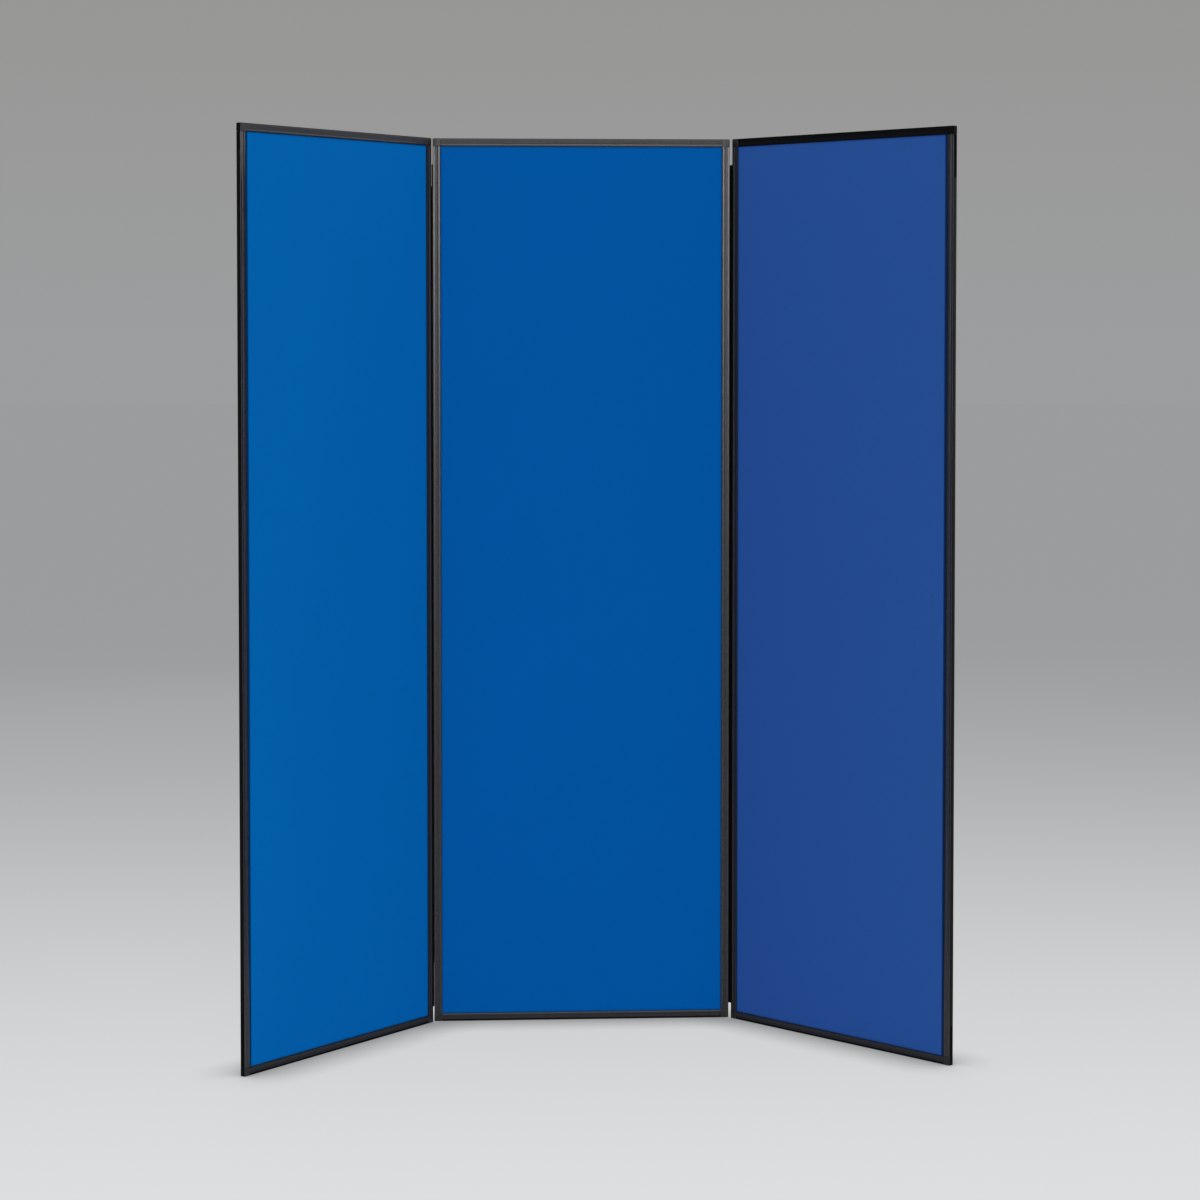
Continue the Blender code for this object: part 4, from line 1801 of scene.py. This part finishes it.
@dataclass(frozen=True)
class Studio:
    """A pale floor that fades into a grey backdrop, soft lamps, and the photograph's camera.

    The floor's tone is horizon + (near - horizon) * exp(-(r / reach) ** power), where r is the
    distance from a point in front of the board, with the sideways part scaled down.
    """

    horizon_tone: Triple = (0.333, 0.339, 0.344)
    high_tone: Triple = (0.310, 0.310, 0.301)
    near_tone: Triple = (0.755, 0.765, 0.775)
    high: float = 0.10
    ambient: float = 0.58
    pool_middle: Pair = (0.0, -2.5)
    pool_reach: float = 4.85
    pool_power: float = 1.85
    pool_sideways: float = 0.6
    steady_share: float = 0.93
    contact_reach: float = 0.12
    contact_open: float = 0.45
    contact_dark: float = 0.40
    floor_hub: float = 0.5
    floor_radius: float = 60.0
    floor_rings: int = 12
    floor_spokes: int = 96
    sensor: float = 36.0
    focal: float = 3340.425
    image: float = 1200.0
    eye: Triple = (-0.413669, -6.790713, 1.407338)
    pan: float = 3.802
    down: float = 2.5
    axis_row: float = 478.425

    def world(self) -> None:
        """Lights everything evenly, and shows the backdrop, a little darker higher up, where it is
        seen or mirrored."""
        world = bpy.data.worlds.new("studio")
        bpy.context.scene.world = world
        n = Nodes(world)
        n.tree.nodes.clear()
        way = n.add("SeparateXYZ", {0: n.add("TexCoord").outputs["Generated"]})
        rise = n.spread(way.outputs["Z"], 0.0, self.high)
        tone = n.mix(rise, self.horizon_tone, self.high_tone)
        light = n.add("Background", {"Color": (1.0, 1.0, 1.0, 1.0), "Strength": self.ambient})
        view = n.add("Background", {"Color": tone})
        mix = n.add("MixShader", {0: n.seen_rays(), 1: light.outputs[0], 2: view.outputs[0]})
        n.add("OutputWorld", {0: mix.outputs[0]})

    def floor_finish(self) -> bpy.types.Material:
        """The floor's tone, mostly steady where it is seen, with a painted contact shadow from an
        occlusion node where the board meets it.

        Returns:
            The material.
        """
        n = Nodes.material("studio_floor")
        across, deep = self.pool_middle
        mapping = {
            "Vector": n.add("TexCoord").outputs["Object"],
            "Location": (-across * self.pool_sideways, -deep, 0.0),
            "Scale": (self.pool_sideways, 1.0, 1.0),
        }
        place = n.add("Mapping", mapping).outputs["Vector"]
        distance = n.add("VectorMath", {0: place}, operation="LENGTH").outputs["Value"]
        far = n.math("POWER", n.math("DIVIDE", distance, self.pool_reach), self.pool_power)
        fall = n.math("EXPONENT", n.math("MULTIPLY", far, -1.0))
        tone = n.mix(fall, self.horizon_tone, self.near_tone)
        contact = n.add("AmbientOcclusion", {"Distance": self.contact_reach}, samples=16)
        shade = n.spread(contact.outputs["AO"], self.contact_open, 1.0, self.contact_dark, 1.0)
        steady = n.add("VectorMath", {0: tone, "Scale": shade}, operation="SCALE").outputs["Vector"]
        glow = n.add("Emission", {"Color": steady, "Strength": 1.0})
        soft = n.add("BsdfDiffuse", {"Color": tone})
        share = n.math("MULTIPLY", n.seen_rays(), self.steady_share)
        mix = n.add("MixShader", {0: share, 1: soft.outputs[0], 2: glow.outputs[0]})
        n.tree.nodes.remove(n.shader)
        n.feed(n.tree.nodes["Material Output"], {"Surface": mix.outputs[0]})
        return n.owner

    def floor(self) -> None:
        """A round floor: rings at radii that grow by powers, point = r (cos a, sin a)."""
        rings, spokes = self.floor_rings, self.floor_spokes
        radii = np.geomspace(self.floor_hub, self.floor_radius, rings)[:, None]
        angle = np.linspace(0, 2 * math.pi, spokes + 1)[:-1]
        level = np.zeros((rings, spokes))
        points = np.stack([radii * np.cos(angle), radii * np.sin(angle), level], -1)
        points = np.concatenate([points.reshape(-1, 3), np.zeros((1, 3))])
        around = np.arange(spokes)
        hub = np.full(spokes, len(points) - 1)
        tris = np.stack([hub, around, (around + 1) % spokes], -1)
        quads = ring_quads(rings, spokes)[:, ::-1]
        mesh = bpy.data.meshes.new("studio_floor")
        mesh.from_pydata(points.tolist(), [], quads.tolist() + tris.tolist())
        mesh.materials.append(self.floor_finish())
        piece = bpy.data.objects.new("studio_floor", mesh)
        bpy.context.scene.collection.objects.link(piece)

    def lamps(self) -> None:
        """Even daylight from the front, a fill behind, an overhead box, and two cards that the
        frames' satin lips mirror: one high in front, one at head height at the right."""
        front, right = (0.0, 0.0, 1.2), (-0.3, -0.2, 1.5)
        lights = (
            Daylight("front_daylight", (0.6, -4.7, 1.7), 0.55, 20.0),
            SoftBox("fill_behind", (-1.0, 6.5, 3.0), (0.0, 0.0, 1.0), 3.0, 2.2, 9.0),
            SoftBox("overhead", (0.0, 0.4, 5.0), (0.0, 0.0, 0.0), 3.5, 3.5, 1.0),
            SoftBox("front_card", (0.7, -6.3, 2.35), front, 3.4, 1.3, 12.5, card=True),
            SoftBox("side_card", (4.5, 0.9, 1.75), right, 1.5, 0.95, 11.0, card=True),
        )
        for light in lights:
            light.hang()

    def camera(self) -> None:
        """The photograph's camera: turned a little to the right and down, its frame shifted down
        so that the lens's axis meets the given row of the picture."""
        lens = bpy.data.cameras.new("photograph")
        lens.sensor_width = self.sensor
        lens.lens = self.focal / self.image * self.sensor
        lens.shift_y = (self.axis_row - self.image / 2) / self.image
        holder = bpy.data.objects.new("photograph", lens)
        holder.location = self.eye
        pitch, turn = math.radians(self.down), math.radians(self.pan)
        holder.rotation_euler = (math.pi / 2 - pitch, 0.0, -turn)
        bpy.context.scene.collection.objects.link(holder)
        bpy.context.scene.camera = holder

    def build(self) -> None:
        """Sets up the whole studio."""
        bpy.context.scene.view_settings.view_transform = "Standard"
        for part in (self.world, self.floor, self.lamps, self.camera):
            part()
        LOG.info("studio ready")


# The whole board

BOARD = (
    Panel(CENTRE, LEFT_WEB_SPAN, RIGHT_WEB_SPAN),
    Panel(
        LEFT_WING,
        loop_pressed=None,
        hook_pressed=LEFT_WEB_SPAN,
        free_side=Side.LEFT,
        # The left wing's inner stile is painted near black: painted shade beside the joint.
        gloss_and_painted_light={"right_stile": LIPS_SHADED},
        loops_flattened_by="left_outer_fold",
    ),
    Panel(
        RIGHT_WING,
        loop_pressed=RIGHT_WEB_SPAN,
        hook_pressed=None,
        free_side=Side.RIGHT,
        # The right wing's inner stile, top rail and top right corner are painted dark: painted shade.
        gloss_and_painted_light={"left_stile": LIPS_SHADED, "top_rail": FACE_DEEP_SHADED},
        painted_shade_corners=("top_right",),
    ),
    HingeWeb(Side.LEFT, LEFT_WING, LEFT_WEB_SPAN),
    HingeWeb(Side.RIGHT, RIGHT_WING, RIGHT_WEB_SPAN),
)


def main() -> None:
    """Builds the studio, the three panels and the two webs."""
    logging.basicConfig(level=logging.INFO, format="%(name)s: %(message)s")
    Studio().build()
    looks = make_wardrobe()
    for part in BOARD:
        part.build(looks)


if __name__ == "__main__":
    main()
